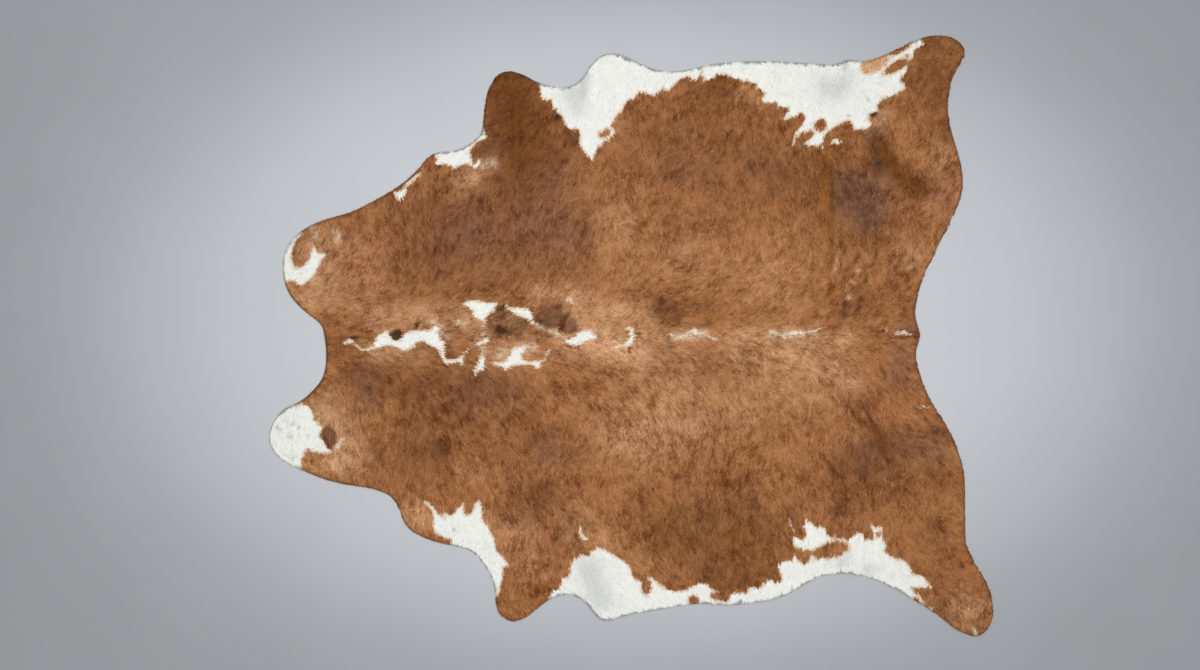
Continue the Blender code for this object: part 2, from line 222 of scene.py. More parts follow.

# Soft changes of tone in the brown hair; a few are painted shade, sheen or highlight, as their comments
# say. Each fades with the distance from its line.
BROWN_TONES = [
    ("right foreleg tip", -370, 735, -360, 700, 90, "umber", 0.75),
    ("right foreleg root", -340, 600, -320, 570, 65, "dark", 0.55),
    ("right shoulder", -260, 520, -250, 500, 80, "greyish", 0.55),
    ("right neck", -550, 300, -220, 320, 130, "greyish", 0.3),
    ("right neck core", -510, 320, -500, 320, 75, "greyish", 0.55),
    ("right withers", -310, 355, -300, 355, 50, "greyish", 0.45),
    ("right withers rear", -200, 320, -190, 320, 55, "greyish", 0.45),
    ("right nape", -830, 200, -820, 210, 90, "rosy", 0.55),
    # Painted sheen: a lighter, warmer stretch of brown on the right of the back.
    ("right back", 0, 230, 450, 200, 110, "tan", 0.22),
    ("right ribs fore", 120, 500, 240, 500, 50, "greyish", 0.3),
    ("right ribs rear", 400, 520, 420, 520, 50, "greyish", 0.3),
    ("right belly edge", 310, 780, 350, 780, 30, "golden", 0.5),
    ("flank fold low", 604, 290, 612, 120, 10, "fold", 0.55),
    ("flank fold shadow", 606, 540, 611, 310, 6, "umber", 0.75),
    ("right hip", 690, 415, 710, 415, 90, "purple", 0.65),
    ("right thigh upper", 735, 674, 760, 540, 38, "umber", 0.65),
    ("right thigh lower", 760, 540, 900, 445, 40, "umber", 0.7),
    ("right thigh core", 785, 535, 885, 435, 18, "russet", 0.75),
    ("right thigh knot", 750, 536, 764, 526, 14, "black", 0.85),
    ("right thigh rear", 965, 430, 975, 430, 90, "rosy", 0.5),
    ("right hind leg", 910, 780, 920, 760, 60, "dark", 0.35),
    ("right rump", 700, 125, 705, 110, 45, "dark", 0.5),
    ("loin brush", 75, 95, 230, 85, 30, "dark", 0.62),
    ("loin brush core", 88, 85, 100, 80, 24, "umber", 0.45),
    # Lighter hair along the spine, partly a painted highlight on its ridge.
    ("spine line", -130, 0, 670, 2, 26, "tan", 0.5),
    ("left back", 50, -170, 500, -150, 110, "greytan", 0.22),
    ("left loin", 110, -190, 130, -200, 80, "greytan", 0.22),
    ("left croup", 460, -100, 480, -100, 120, "greytan", 0.4),
    ("left nape", -800, -120, -790, -120, 55, "dark", 0.6),
    ("left neck fore", -665, -165, -655, -165, 45, "dark", 0.6),
    ("left neck rear", -525, -210, -515, -210, 55, "dark", 0.55),
    ("left neck spot", -580, -350, -575, -350, 38, "umber", 0.7),
    ("left withers", -285, -300, -275, -300, 55, "dark", 0.55),
    ("left throat", -870, -380, -860, -380, 45, "rosy", 0.45),
    ("left brisket", -475, -410, -470, -410, 45, "rosy", 0.45),
    ("left brisket gold", -635, -520, -630, -590, 24, "golden", 0.45),
    ("left foreleg", -325, -590, -315, -600, 65, "rosy", 0.5),
    ("left elbow", -310, -470, -305, -470, 55, "dark", 0.5),
    ("left armpit", -170, -590, -170, -585, 55, "greyish", 0.4),
    ("left ribs", 190, -590, 200, -590, 105, "neutral", 0.7),
    ("left ribs rear", 330, -500, 390, -590, 55, "neutral", 0.5),
    ("left belly spot", 270, -745, 275, -745, 26, "dark", 0.5),
    ("left hip", 760, -320, 765, -320, 42, "umber", 0.5),
    ("left stifle upper", 700, -410, 705, -410, 40, "dark", 0.55),
    ("left stifle", 636, -520, 638, -537, 20, "umber", 0.6),
    ("left thigh", 930, -330, 935, -330, 40, "dark", 0.5),
    ("left rump", 680, -195, 685, -195, 40, "dark", 0.3),
    ("left hind leg", 900, -610, 905, -620, 60, "dark", 0.4),
    ("left hoof end", 1030, -820, 1035, -825, 45, "rosy", 0.45),
    ("tail root", 845, 20, 860, 20, 28, "greyish", 0.6),
    ("below the tail", 820, -60, 820, -130, 38, "greyish", 0.45),
    ("neck notch", -920, -15, -890, -35, 34, "dark", 0.55),
    ("poll", -830, 80, -820, 80, 45, "tan", 0.3),
    ("tan bulge", -812, -12, -800, -20, 18, "olive", 0.7),
    ("crest dark", -643, -35, -632, -36, 19, "umber", 0.55),
    ("crest edge", -556, 15, -552, -55, 14, "dark", 0.7),
    ("withers spot", -410, 18, -380, 12, 14, "black", 0.75),
    ("withers spot rear", -340, 34, -330, 30, 14, "umber", 0.65),
    ("back brindle core", -207, 55, -205, 15, 13, "umber", 0.8),
    ("back brindle fore", -278, 50, -245, 42, 12, "umber", 0.55),
    ("gold under brindle", -275, 10, -225, 8, 14, "wedge", 0.55),
    ("loin dark dash", 118, -6, 122, -34, 9, "umber", 0.65),
    ("loin dark streak", 215, 34, 236, 36, 6, "umber", 0.6),
    ("loin slant streak", 180, 70, 200, 95, 9, "dark", 0.6),
    ("croup dark dash", 622, 30, 636, 28, 6, "dark", 0.6),
    ("croup dark streak", 735, 22, 765, 11, 7, "dark", 0.6),
    ("croup light", 640, 5, 662, -18, 20, "tan", 0.55),
    # Painted shade in the spine's groove by the tail.
    ("tail groove shade above", 825, 20, 868, 10, 5, "black", 0.7),
    ("tail groove shade below", 820, -6, 870, -2, 6, "umber", 0.6),
    # Painted shade in the rump's wrinkles.
    ("rump wrinkle dark fore", 613, 95, 616, 80, 12, "dark", 0.5),
    ("rump wrinkle dark mid", 650, 100, 653, 65, 10, "umber", 0.5),
    ("rump wrinkle dark rear", 682, 95, 690, 80, 8, "dark", 0.5),
    ("right foreleg", -385, 760, -340, 560, 75, "umber", 0.42),
    ("right shoulder core", -352, 510, -345, 430, 55, "umber", 0.5),
    ("right shoulder rear", -275, 640, -255, 530, 50, "dark", 0.5),
    ("right ribs", 30, 610, 540, 520, 95, "dark", 0.33),
    ("right ribs low", 250, 440, 600, 450, 65, "dark", 0.32),
    ("right belly", 250, 770, 262, 740, 45, "dark", 0.6),
    ("right stifle", 650, 430, 740, 370, 70, "umber", 0.38),
    ("right hind leg length", 905, 860, 955, 640, 70, "dark", 0.36),
    ("right neck edge", -700, 370, -420, 460, 65, "dark", 0.3),
    ("right neck low", -720, 260, -430, 230, 65, "dark", 0.3),
    ("right thigh back", 950, 370, 950, 470, 60, "dark", 0.28),
    ("left neck band", -860, -150, -360, -150, 50, "dark", 0.38),
    ("left neck low", -660, -250, -450, -280, 65, "dark", 0.38),
    ("left neck side", -650, -350, -645, -360, 55, "umber", 0.36),
    ("left shoulder", -460, -350, -190, -350, 50, "dark", 0.32),
    ("left elbow low", -345, -555, -250, -480, 45, "umber", 0.38),
    ("left belly", 130, -610, 370, -690, 85, "umber", 0.3),
    ("left belly low", 220, -730, 360, -720, 50, "umber", 0.28),
    ("left loin light", -50, -300, 200, -280, 80, "pale", 0.42),
    ("left stifle low", 660, -400, 800, -360, 62, "umber", 0.38),
    ("left thigh low", 650, -470, 960, -450, 60, "dark", 0.34),
    ("left hind leg length", 930, -620, 950, -750, 45, "dark", 0.32),
    ("left cheek", -940, -240, -880, -360, 70, "blush", 0.75),
    ("right cheek", -960, 260, -950, 140, 55, "blush", 0.7),
    ("crest light", -770, 55, -400, 55, 46, "pale", 0.52),
    ("back light", -170, -10, 0, -40, 60, "pale", 0.9),
    ("left withers light", -460, -50, -330, -50, 42, "pale", 0.55),
    ("croup light fore", 330, -50, 620, -50, 45, "pale", 0.42),
    ("croup light right", 430, 150, 470, 150, 50, "tan", 0.35),
    ("left brisket light", -670, -540, -655, -560, 35, "pale", 0.55),
    ("left foreleg fore", -455, -540, -440, -560, 32, "tan", 0.6),
    ("left foreleg light", -355, -640, -350, -660, 40, "rosy", 0.45),
    ("left armpit light", -150, -625, -50, -640, 40, "tan", 0.5),
    ("tail side", 850, 60, 855, 75, 30, "dark", 0.45),
    ("loin dark", 240, 50, 260, 60, 30, "dark", 0.45),
    ("right foreleg russet", -370, 760, -330, 560, 85, "russet", 0.8),
    ("right foreleg rear", -270, 650, -230, 560, 50, "russet", 0.4),
    ("left belly russet", 100, -580, 380, -640, 90, "golden", 0.34),
    ("right belly russet", 200, 690, 330, 700, 70, "russet", 0.28),
    ("right neck broad", -600, 320, -200, 400, 120, "dark", 0.32),
    ("right side broad", 50, 600, 600, 500, 110, "dark", 0.22),
    ("right side low", 150, 350, 270, 350, 50, "dark", 0.3),
    ("right hock", 900, 880, 970, 780, 70, "dark", 0.42),
    ("left neck rear", -470, -150, -330, -160, 50, "dark", 0.38),
    ("left shoulder blade", -260, -350, -240, -360, 45, "purple", 0.5),
    ("left throat dark", -660, -360, -640, -450, 50, "dark", 0.34),
    ("left ribs dark", 100, -580, 400, -600, 90, "umber", 0.2),
    ("left stifle dark", 640, -560, 660, -530, 50, "dark", 0.3),
    ("left hip broad", 730, -360, 930, -340, 55, "purple", 0.4),
    ("light by the brindle", -280, 135, -150, 120, 30, "pale", 0.55),
    ("croup light left", 620, -130, 680, -140, 40, "pale", 0.5),
    ("crest blush", -780, -55, -640, -55, 28, "blush", 0.55),
    ("left hoof", 950, -860, 1060, -850, 45, "blush", 0.5),
    ("right tail side", 850, 250, 855, 240, 45, "blush", 0.4),
    ("left hip streak fore", 660, -212, 702, -272, 6, "umber", 0.65),
    ("left hip streak rear", 700, -204, 742, -278, 6, "umber", 0.7),
    ("left hip knot", 742, -284, 752, -292, 12, "umber", 0.7),
    ("left hip curl", 600, -385, 632, -432, 7, "umber", 0.6),
    ("left hip curl low", 612, -415, 662, -436, 6, "umber", 0.55),
    ("left hip dot", 702, -428, 706, -434, 16, "umber", 0.6),
    ("left edge spot", 918, -282, 926, -290, 16, "umber", 0.6),
    ("left edge band", 925, -320, 968, -375, 12, "umber", 0.55),
    ("left edge curl", 936, -372, 952, -392, 7, "umber", 0.6),
    ("left edge patch", 915, -430, 950, -425, 22, "russet", 0.5),
    # Painted shade in the short wrinkles of the rump.
    ("rump streak 1", 634, 292, 640, 268, 5, "umber", 0.65),
    ("rump streak 2", 656, 278, 648, 254, 5, "umber", 0.6),
    ("rump streak 3", 692, 250, 680, 226, 7, "umber", 0.75),
    ("rump streak 4", 748, 250, 730, 212, 5, "umber", 0.6),
    ("rump streak 5", 668, 224, 660, 196, 5, "umber", 0.55),
    ("rump streak 6", 724, 196, 712, 166, 5, "umber", 0.5),
    ("rump streak 7", 640, 228, 632, 190, 5, "umber", 0.5),
    ("rump light 1", 690, 204, 694, 200, 8, "pale", 0.7),
    ("rump light 2", 676, 166, 680, 163, 7, "pale", 0.8),
    ("rump light 3", 655, 146, 658, 142, 7, "pale", 0.7),
    ("rump light 4", 664, 122, 668, 118, 7, "pale", 0.7),
    ("rump light 5", 626, 236, 620, 205, 8, "pale", 0.55),
    ("rump brush", 655, 105, 650, 60, 10, "umber", 0.65),
    ("rump brush rear", 700, 110, 690, 65, 10, "umber", 0.55),
    ("withers light line", -449, 40, -447, -60, 9, "cream", 0.6),
    ("withers light spot", -530, 44, -508, 34, 13, "cream", 0.45),
    ("withers light low", -400, -56, -300, -30, 16, "cream", 0.35),
    ("cream under brindle", -285, 34, -205, -6, 8, "cream", 0.6),
    ("crest rim light", -600, 42, -560, 0, 12, "cream", 0.4),
    ("loin halo", 140, 0, 225, 6, 13, "cream", 0.5),
    ("croup halo", 430, 2, 560, 8, 10, "cream", 0.45),
    ("croup spot light", 655, 5, 660, -12, 16, "blush", 0.6),
    ("loin spot light", 345, 2, 375, 12, 14, "blush", 0.5),
    ("left brisket bulge", -662, -525, -636, -575, 32, "tan", 0.8),
    ("left throat tan", -990, -380, -900, -395, 28, "tan", 0.7),
    ("right throat tan", -1045, 145, -1000, 110, 28, "tan", 0.6),
    ("right neck dot", -970, 328, -966, 316, 10, "cream", 0.5),
    ("right cheek dot", -905, 318, -890, 312, 11, "cream", 0.5),
    ("right cheek light", -895, 285, -870, 262, 22, "pale", 0.55),
    ("right cheek dark", -872, 303, -866, 301, 9, "umber", 0.6),
    ("right cheek dark low", -852, 276, -842, 264, 10, "umber", 0.5),
    ("right brisket dusk", -470, 555, -430, 575, 26, "brindle", 0.45),
    ("right brisket light", -460, 515, -420, 530, 14, "cream", 0.45),
    ("right brisket tan", -510, 470, -470, 490, 30, "pale", 0.55),
    ("right foreleg line", -428, 640, -412, 608, 7, "umber", 0.6),
    ("right back light", -140, 80, -30, 70, 40, "pale", 0.5),
    ("right withers low", -660, 160, -420, 190, 55, "dark", 0.26),
    ("right withers broad", -340, 260, -150, 260, 55, "dark", 0.3),
    ("right ribs mid", 130, 260, 160, 240, 50, "dark", 0.32),
    ("right flank fore", 540, 360, 650, 330, 50, "dark", 0.26),
    ("left spine side", 60, -60, 280, -110, 45, "dark", 0.28),
    ("loin right side", 110, 50, 150, 40, 30, "dark", 0.3),
    ("left girth", -160, -350, -140, -360, 45, "dark", 0.34),
    ("right belly light", 350, 745, 385, 725, 30, "tan", 0.6),
    ("right hock light", 740, 650, 765, 680, 30, "pale", 0.6),
    ("right girth light", -45, 640, -40, 660, 26, "pale", 0.28),
    ("left belly light", 40, -660, 30, -700, 34, "tan", 0.35),
    ("left foreleg tan", -370, -640, -290, -720, 45, "tan", 0.42),
    ("left thigh edge light", 950, -340, 965, -350, 30, "tan", 0.45),
    ("right thigh edge light", 945, 555, 950, 545, 40, "blush", 0.45),
    ("left hoof strand", 1046, -896, 1052, -912, 5, "cream", 0.85),
    ("left hoof strand fore", 1015, -840, 1048, -878, 14, "blush", 0.4),
    ("left hoof dark", 975, -785, 992, -803, 5, "umber", 0.4),
    ("left hoof dark fore", 945, -830, 990, -870, 12, "umber", 0.35),
    ("right shoulder lobe", -190, 622, -172, 590, 20, "umber", 0.62),
    ("right thigh edge", 738, 628, 752, 600, 17, "purple", 0.6),
    ("right thigh edge low", 755, 590, 780, 552, 20, "umber", 0.45),
    ("withers low red", -520, -160, -380, -175, 55, "purple", 0.3),
    ("right girth gold", -100, 55, -40, 35, 45, "olive", 0.22),
    ("left neck wedge", -780, -350, -765, -383, 20, "dark", 0.65),
    ("left neck red", -815, -110, -800, -200, 36, "purple", 0.42),
    ("left neck mark", -872, -450, -846, -456, 9, "umber", 0.6),
    ("withers mid light", -360, 50, -345, 50, 50, "pale", 0.3),
    ("girth mid light", 45, 60, 50, -60, 52, "pale", 0.32),
    ("loin left light", 150, -50, 160, -150, 52, "pale", 0.22),
    ("right rib light", -50, 350, -35, 350, 52, "pale", 0.28),
    ("right rib low light", 150, 250, 155, 250, 45, "pale", 0.18),
    ("croup left light", 350, -50, 355, -50, 45, "pale", 0.2),
    ("left loin light", 350, -250, 355, -250, 50, "pale", 0.22),
    ("left croup light", 550, -150, 555, -150, 48, "pale", 0.2),
    ("left rib light", 50, -350, 55, -350, 48, "pale", 0.18),
    ("left elbow light", -150, -550, -145, -550, 45, "tan", 0.25),
    ("right foreleg dark", -350, 750, -345, 770, 55, "umber", 0.26),
    ("right shoulder dark", -350, 450, -345, 450, 52, "dark", 0.26),
    ("neck mid dark", -650, -50, -645, -50, 45, "dark", 0.3),
    ("left thigh rim dark", 950, -350, 955, -345, 45, "dark", 0.26),
    ("right loin olive", 250, 50, 255, 50, 45, "golden", 0.2),
]

# Soft grey on the white hair: painted shade where the lying hide buckles and in one crease, and small dark
# specks of hair.
WHITE_TONES = [
    ("right shoulder buckle shade", -140, 790, -148, 735, 18, "shade", 1),
    ("right shoulder grey", -185, 745, -165, 700, 30, "shade", 0.75),
    ("right belly grey", 600, 760, 630, 755, 40, "shade", 0.8),
    ("right flank grey", 655, 781, 660, 790, 20, "shade", 0.6),
    ("right flank crease", 652, 815, 656, 840, 8, "speck", 0.7),
    ("right belly dot", 720, 723, 723, 723, 6, "speck", 0.8),
    ("right belly dot low", 663, 671, 665, 671, 6, "speck", 0.8),
    ("left shoulder grey", -130, -705, -95, -800, 42, "shade", 0.85),
    ("left flank grey", 640, -690, 655, -685, 22, "shade", 0.75),
    ("left thigh grey", 720, -712, 732, -711, 18, "shade", 0.7),
    ("left lobe speck 1", -1080, -278, -1078, -280, 6, "speck", 0.8),
    ("left lobe speck 2", -1068, -289, -1066, -289, 6, "speck", 0.7),
    ("left lobe speck 3", -1033, -268, -1031, -270, 7, "speck", 0.75),
    ("left lobe speck 4", -1012, -281, -1010, -281, 6, "speck", 0.7),
    ("left lobe speck 5", -1042, -304, -1040, -306, 8, "speck", 0.75),
    ("left lobe speck 6", -1053, -255, -1051, -255, 5, "speck", 0.6),
    ("left lobe speck 7", -984, -303, -982, -303, 6, "speck", 0.7),
    ("left lobe speck 8", -1030, -371, -1028, -371, 7, "speck", 0.7),
    ("left brisket speck", -541, -591, -539, -591, 6, "speck", 0.8),
    ("left brisket fleck", -569, -555, -567, -556, 5, "speck", 0.7),
]

# The white patches, each a closed line of points. Those that meet the edge run on past it.
WHITE_PATCHES = {
    "right neck lobe": [
        (-1010, 316), (-988, 298), (-970, 271), (-942, 255), (-929, 246), (-940, 233), (-952, 205),
        (-973, 177), (-1005, 152), (-1026, 166), (-1060, 164), (-1120, 150), (-1140, 250),
        (-1100, 360), (-1040, 350),
    ],
    "right brisket": [
        (-594, 552), (-593, 521), (-560, 523), (-534, 513), (-510, 523), (-488, 523), (-468, 515),
        (-457, 526), (-461, 539), (-477, 531), (-489, 547), (-484, 572), (-466, 592), (-446, 599),
        (-438, 608), (-446, 620), (-480, 660), (-610, 630), (-602, 570),
    ],
    "right brisket fleck": [
        (-724, 434), (-704, 446), (-687, 453), (-684, 438), (-694, 425), (-710, 419),
    ],
    "right shoulder": [
        (-295, 950), (-277, 765), (-277, 745), (-267, 720), (-244, 716), (-236, 692), (-214, 675),
        (-204, 650), (-190, 633), (-160, 622), (-153, 578), (-134, 549), (-118, 534), (-110, 555),
        (-87, 585), (-60, 606), (-50, 627), (-62, 640), (-48, 664), (-26, 690), (-10, 715), (11, 729),
        (27, 748), (54, 736), (80, 732), (92, 752), (117, 753), (147, 780), (180, 789), (205, 786),
        (215, 950),
    ],
    "right belly": [
        (216, 950), (219, 793), (248, 786), (263, 796), (296, 795), (325, 781), (355, 775), (381, 761),
        (380, 754), (407, 741), (396, 716), (414, 711), (442, 712), (447, 696), (482, 694), (464, 663),
        (482, 661), (506, 678), (529, 669), (515, 636), (499, 620), (512, 600), (532, 581), (552, 586),
        (570, 578), (586, 595), (594, 616), (628, 641), (650, 652), (670, 651), (680, 630), (700, 628),
        (727, 636), (732, 648), (726, 664), (755, 686), (747, 698), (765, 718), (797, 736), (838, 757),
        (821, 781), (838, 805), (840, 832), (861, 851), (867, 873), (896, 891), (886, 905), (890, 980),
        (700, 980), (400, 980),
    ],
    "left neck lobe": [
        (-1022, -195), (-1021, -212), (-991, -212), (-968, -232), (-965, -255), (-942, -280),
        (-948, -302), (-936, -322), (-922, -346), (-898, -350), (-930, -359), (-967, -353),
        (-992, -352), (-1001, -377), (-1004, -402), (-1020, -460), (-1130, -440), (-1150, -300),
        (-1110, -190), (-1060, -170),
    ],
    "left brisket": [
        (-632, -503), (-606, -517), (-597, -530), (-580, -547), (-563, -538), (-545, -545),
        (-530, -532), (-507, -509), (-512, -530), (-505, -543), (-484, -537), (-476, -515),
        (-467, -504), (-456, -516), (-454, -540), (-448, -566), (-432, -591), (-416, -618),
        (-411, -650), (-388, -677), (-371, -702), (-388, -706), (-391, -735), (-398, -765),
        (-406, -792), (-470, -860), (-600, -760), (-560, -665), (-548, -622), (-575, -611),
        (-597, -603), (-601, -570), (-604, -540), (-622, -516),
    ],
    "left shoulder and belly": [
        (-272, -930), (-250, -805), (-241, -780), (-218, -770), (-208, -742), (-187, -726),
        (-184, -700), (-165, -672), (-149, -663), (-128, -667), (-100, -647), (-63, -660), (-31, -680),
        (-2, -704), (9, -738), (30, -747), (64, -741), (102, -771), (133, -780), (164, -774),
        (199, -761), (222, -754), (243, -773), (270, -778), (246, -785), (241, -794), (252, -803),
        (290, -807), (307, -788), (334, -787), (358, -774), (356, -765), (392, -764), (425, -746),
        (445, -749), (459, -738), (446, -706), (464, -688), (481, -689), (500, -673), (513, -688),
        (528, -700), (548, -673), (535, -657), (500, -646), (494, -620), (506, -612), (527, -621),
        (533, -600), (525, -580), (538, -564), (550, -577), (572, -579), (591, -590), (601, -606),
        (630, -618), (672, -615), (690, -598), (701, -601), (714, -618), (735, -624), (739, -606),
        (727, -579), (746, -584), (761, -588), (766, -616), (779, -642), (773, -657), (801, -677),
        (826, -677), (853, -706), (857, -724), (893, -735), (902, -748), (918, -767), (888, -770),
        (855, -770), (868, -784), (884, -800), (880, -870), (700, -960), (300, -960), (0, -960),
    ],
    "crest": [
        (-879, -23), (-868, -14), (-848, -11), (-840, -22), (-826, -34), (-806, -40), (-788, -33),
        (-782, -18), (-772, -2), (-755, 11), (-739, 17), (-733, 8), (-728, -10), (-708, -12),
        (-693, 4), (-673, 15), (-649, 17), (-620, 18), (-606, 21), (-599, 30), (-587, 37), (-584, 18),
        (-580, -6), (-567, -22), (-568, -50), (-555, -78), (-562, -86), (-580, -60), (-589, -41),
        (-610, -30), (-631, -17), (-646, -20), (-668, -37), (-695, -46), (-712, -34), (-740, -30),
        (-770, -38), (-808, -46), (-830, -38), (-846, -22), (-865, -27),
    ],
    "withers arrow": [
        (-514, 94), (-500, 106), (-484, 110), (-448, 106), (-410, 99), (-415, 86), (-430, 67),
        (-443, 53), (-445, 38), (-453, 45), (-470, 56), (-481, 78), (-499, 90),
    ],
    "withers streak": [
        (-396, 97), (-366, 88), (-340, 87), (-322, 86), (-304, 74), (-292, 47), (-283, 35), (-300, 38),
        (-318, 52), (-351, 66), (-374, 82),
    ],
    "withers bar": [
        (-563, -70), (-535, -72), (-522, -64), (-511, -62), (-510, -80), (-514, -92), (-528, -80),
        (-550, -84),
    ],
    "withers slant": [
        (-450, -58), (-444, -80), (-453, -100), (-470, -114), (-478, -117), (-466, -78),
    ],
    "back mark": [
        (-427, -77), (-405, -80), (-382, -75), (-370, -58), (-359, -38), (-338, -34), (-317, -30),
        (-329, -47), (-332, -66), (-315, -77), (-274, -75), (-271, -82), (-286, -103), (-303, -88),
        (-345, -89), (-371, -98), (-380, -106), (-392, -95), (-418, -89),
    ],
    "back blob": [
        (-200, -13), (-180, -6), (-164, 7), (-143, 18), (-120, 16), (-103, 0), (-107, -9), (-133, -15),
        (-155, -27), (-188, -27),
    ],
    "back crescent": [
        (-17, 22), (-4, 28), (8, 20), (13, 0), (8, -20), (-8, -32), (-40, -37), (-57, -34), (-38, -29),
        (-16, -18), (-4, -2), (-3, 12),
    ],
    "loin arrow": [
        (172, 12), (184, 18), (193, 25), (204, 17), (225, 12), (205, 7), (186, 7),
    ],
    "croup streak": [
        (464, 8), (490, 15), (510, 16), (527, 12), (524, 5), (490, 5),
    ],
    "tail dash": [
        (808, 13), (824, 16), (842, 11), (862, 3), (845, 3), (828, 5),
    ],
    "right belly fleck": [
        (608, 588), (620, 599), (640, 597), (641, 590), (625, 583),
    ],
    "left hind fleck": [
        (755, -589), (762, -585), (768, -592), (763, -600),
    ],
}

# Thin white or cream streaks.
WHITE_STROKES = [
    ("right brisket streak", -687, 456, -645, 495, 4.5),
    ("right foreleg rim", -462, 690, -455, 640, 3),
    ("right neck oval rim", -990, 300, -970, 276, 2),
    ("left neck hook", -895, -340, -887, -328, 4.2),
    ("left neck hook tip", -887, -328, -877, -311, 4),
    ("left shoulder streak", -155, -590, -151, -609, 4.6),
    ("left shoulder streak end", -151, -609, -137, -622, 5),
    ("right flank streak", 502, 620, 495, 585, 3.2),
    ("left flank streak", 481, -555, 496, -595, 1.6),
    ("left flank speck", 583, 576, 584, 576, 4),
    ("withers dab", -466, -23, -437, -13, 6.5),
    ("withers thread", -510, -64, -498, -40, 1.8),
    ("back dab", -188, 116, -176, 100, 4.8),
    ("back thread", -271, -78, -250, -45, 2),
    ("loin dot", 124, 4, 126, 4, 4),
    ("loin thread", 135, -10, 172, 3, 2.5),
    ("loin tail", 238, -3, 260, -12, 2.6),
    ("croup thread", 428, 16, 446, 8, 3),
    ("croup thread end", 446, 8, 470, -6, 3.4),
    ("croup tail", 527, 9, 556, 14, 2.6),
    ("croup tail end", 556, 14, 578, 23, 1.8),
    ("tail thread", 798, 2, 828, 5, 1.6),
    ("tail root dot", 776, 20, 777, 20, 4),
    ("left scar", 866, -217, 915, -217, 0.8),
    ("left hind rim", 877, -805, 898, -829, 4),
    ("left hock dab", 911, -833, 915, -834, 5),
]

# Brown and tan islets standing in the white, or along its border. The turn is in degrees from +X.
ISLETS = [
    ("right neck oval", -1003, 259, 50, 29, 74, "plain"),
    ("right shoulder", -82, 618, 19, 12, 30, "plain"),
    ("right flank lobe", 528, 605, 30, 15, 35, "plain"),
    ("right flank", 578, 643, 19, 19, 0, "plain"),
    ("right hock streak", 810, 823, 42, 14, 31, "plain"),
    ("right hock fleck", 842, 854, 5, 4, 0, "plain"),
    ("right hock edge", 818, 874, 36, 11, 28, "plain"),
    ("right flank wedge", 742, 832, 44, 24, 32, "wedge"),
    ("left tab", 47, -764, 22, 15, 90, "plain"),
    ("left belly", 191, -805, 16, 12, 0, "plain"),
    ("left flank fore", 571, -666, 24, 15, 0, "plain"),
    ("left flank rear", 619, -650, 43, 24, 6, "plain"),
    ("left thigh", 753, -606, 6, 6, 0, "plain"),
    ("left hock edge", 871, -806, 12, 6, -40, "plain"),
    ("right belly spot", 739, 672, 14, 6, 20, "black"),
]

# Dark spots in the brown hair, sharper than the tones.
DARK_SPOTS = [
    ("crest spot", -713, 3, 18, 15, 20, "black"),
    ("crest spot tail", -697, -4, 13, 8, -10, "umber"),
    ("crest thin dark", -652, 32, 14, 6, 75, "umber"),
    ("right brisket spot", -449, 629, 13, 10, 80, "spot"),
    ("right shoulder patch", -220, 668, 16, 9, 40, "umber"),
    ("left cheek spot", -918, -309, 34, 21, 105, "spot"),
    ("back brindle core", -207, 36, 22, 11, 75, "umber"),
    ("back brindle fore", -274, 46, 10, 7, 20, "umber"),
    ("withers brindle core", -397, 19, 17, 12, -20, "umber"),
    ("withers brindle top", -392, 84, 10, 5, 60, "brindle"),
    ("right thigh knot", 757, 531, 13, 10, 30, "black"),
    # Painted shade in the spine's groove at the neck.
    ("neck line", -875, -6, 52, 3, 0, "dark"),
    ("poll groove shade", -838, -5, 14, 5, 0, "umber"),
    ("under the crescent", -6, -42, 9, 5, 70, "dark"),
]

# Dark patches in the brown hair, each with its closed line of points.
DARK_PATCHES = [
    ("back brindle", "brindle", 0.74, 5, [
        (-296, 62), (-262, 80), (-240, 98), (-212, 96), (-202, 76), (-168, 52), (-160, 22), (-196, 6),
        (-220, 26), (-240, 22), (-268, 28), (-292, 46),
    ]),
    ("withers brindle", "brindle", 0.52, 8, [
        (-438, 50), (-420, 78), (-400, 92), (-378, 82), (-362, 60), (-332, 50), (-312, 34), (-330, 10),
        (-352, -4), (-380, 2), (-402, 2), (-430, 20),
    ]),
    ("right thigh band", "russet", 0.62, 10, [
        (738, 610), (772, 598), (800, 548), (850, 500), (902, 458), (906, 424), (876, 414), (840, 424),
        (815, 462), (790, 502), (766, 518), (748, 555),
    ]),
    ("flank fold", "fold", 0.62, 5, [
        (576, 562), (604, 558), (608, 430), (612, 305), (592, 296), (581, 340), (573, 450),
    ]),
    ("left hip", "russet", 0.58, 12, [
        (735, -275), (765, -290), (800, -298), (804, -340), (800, -388), (770, -382), (745, -345),
        (730, -310),
    ]),
    ("right hip", "purple", 0.5, 24, [
        (618, 490), (650, 495), (700, 502), (745, 490), (768, 450), (772, 380), (755, 320), (720, 305),
        (690, 320), (668, 365), (636, 400), (618, 440),
    ]),
]

# Small troughs and ridges in the lying skin, beside the CAD folds.
CREASES = [
    ("flank fold lip", 600, 540, 612, 60, 12, 1.6),
    ("flank fold trough", 585, 500, 596, 100, 12, -1.6),
    ("rump wrinkle 1", 628, 290, 646, 120, 10, 1.2),
    ("rump wrinkle 2", 652, 270, 668, 130, 9, -1.4),
    ("rump wrinkle 3", 678, 300, 700, 120, 11, 1.3),
    ("rump wrinkle 4", 715, 260, 735, 110, 10, -1.2),
    ("rump wrinkle 5", 745, 230, 770, 80, 12, 1),
    ("spine groove fore", -940, -10, -820, -4, 8, -1.4),
    ("spine groove rear", 700, 2, 880, 2, 7, -1.6),
    ("spine ridge", -120, 4, 640, 6, 14, 0.8),
    ("right flank crease", 648, 770, 658, 860, 10, -1.6),
    ("left armpit crease", -330, -560, -280, -660, 12, -1.2),
]

# --- Fields on the grid -------------------------------------------------------------------------------


def in_metres(kind, rows):
    """The markings' rows as tuples of this kind, with their lengths in metres."""
    made = []
    for row in rows:
        fields = zip(kind._fields, row, strict=True)
        made.append(kind(*(v / 1000 if field in LENGTH_FIELDS else v for field, v in fields)))
    return made


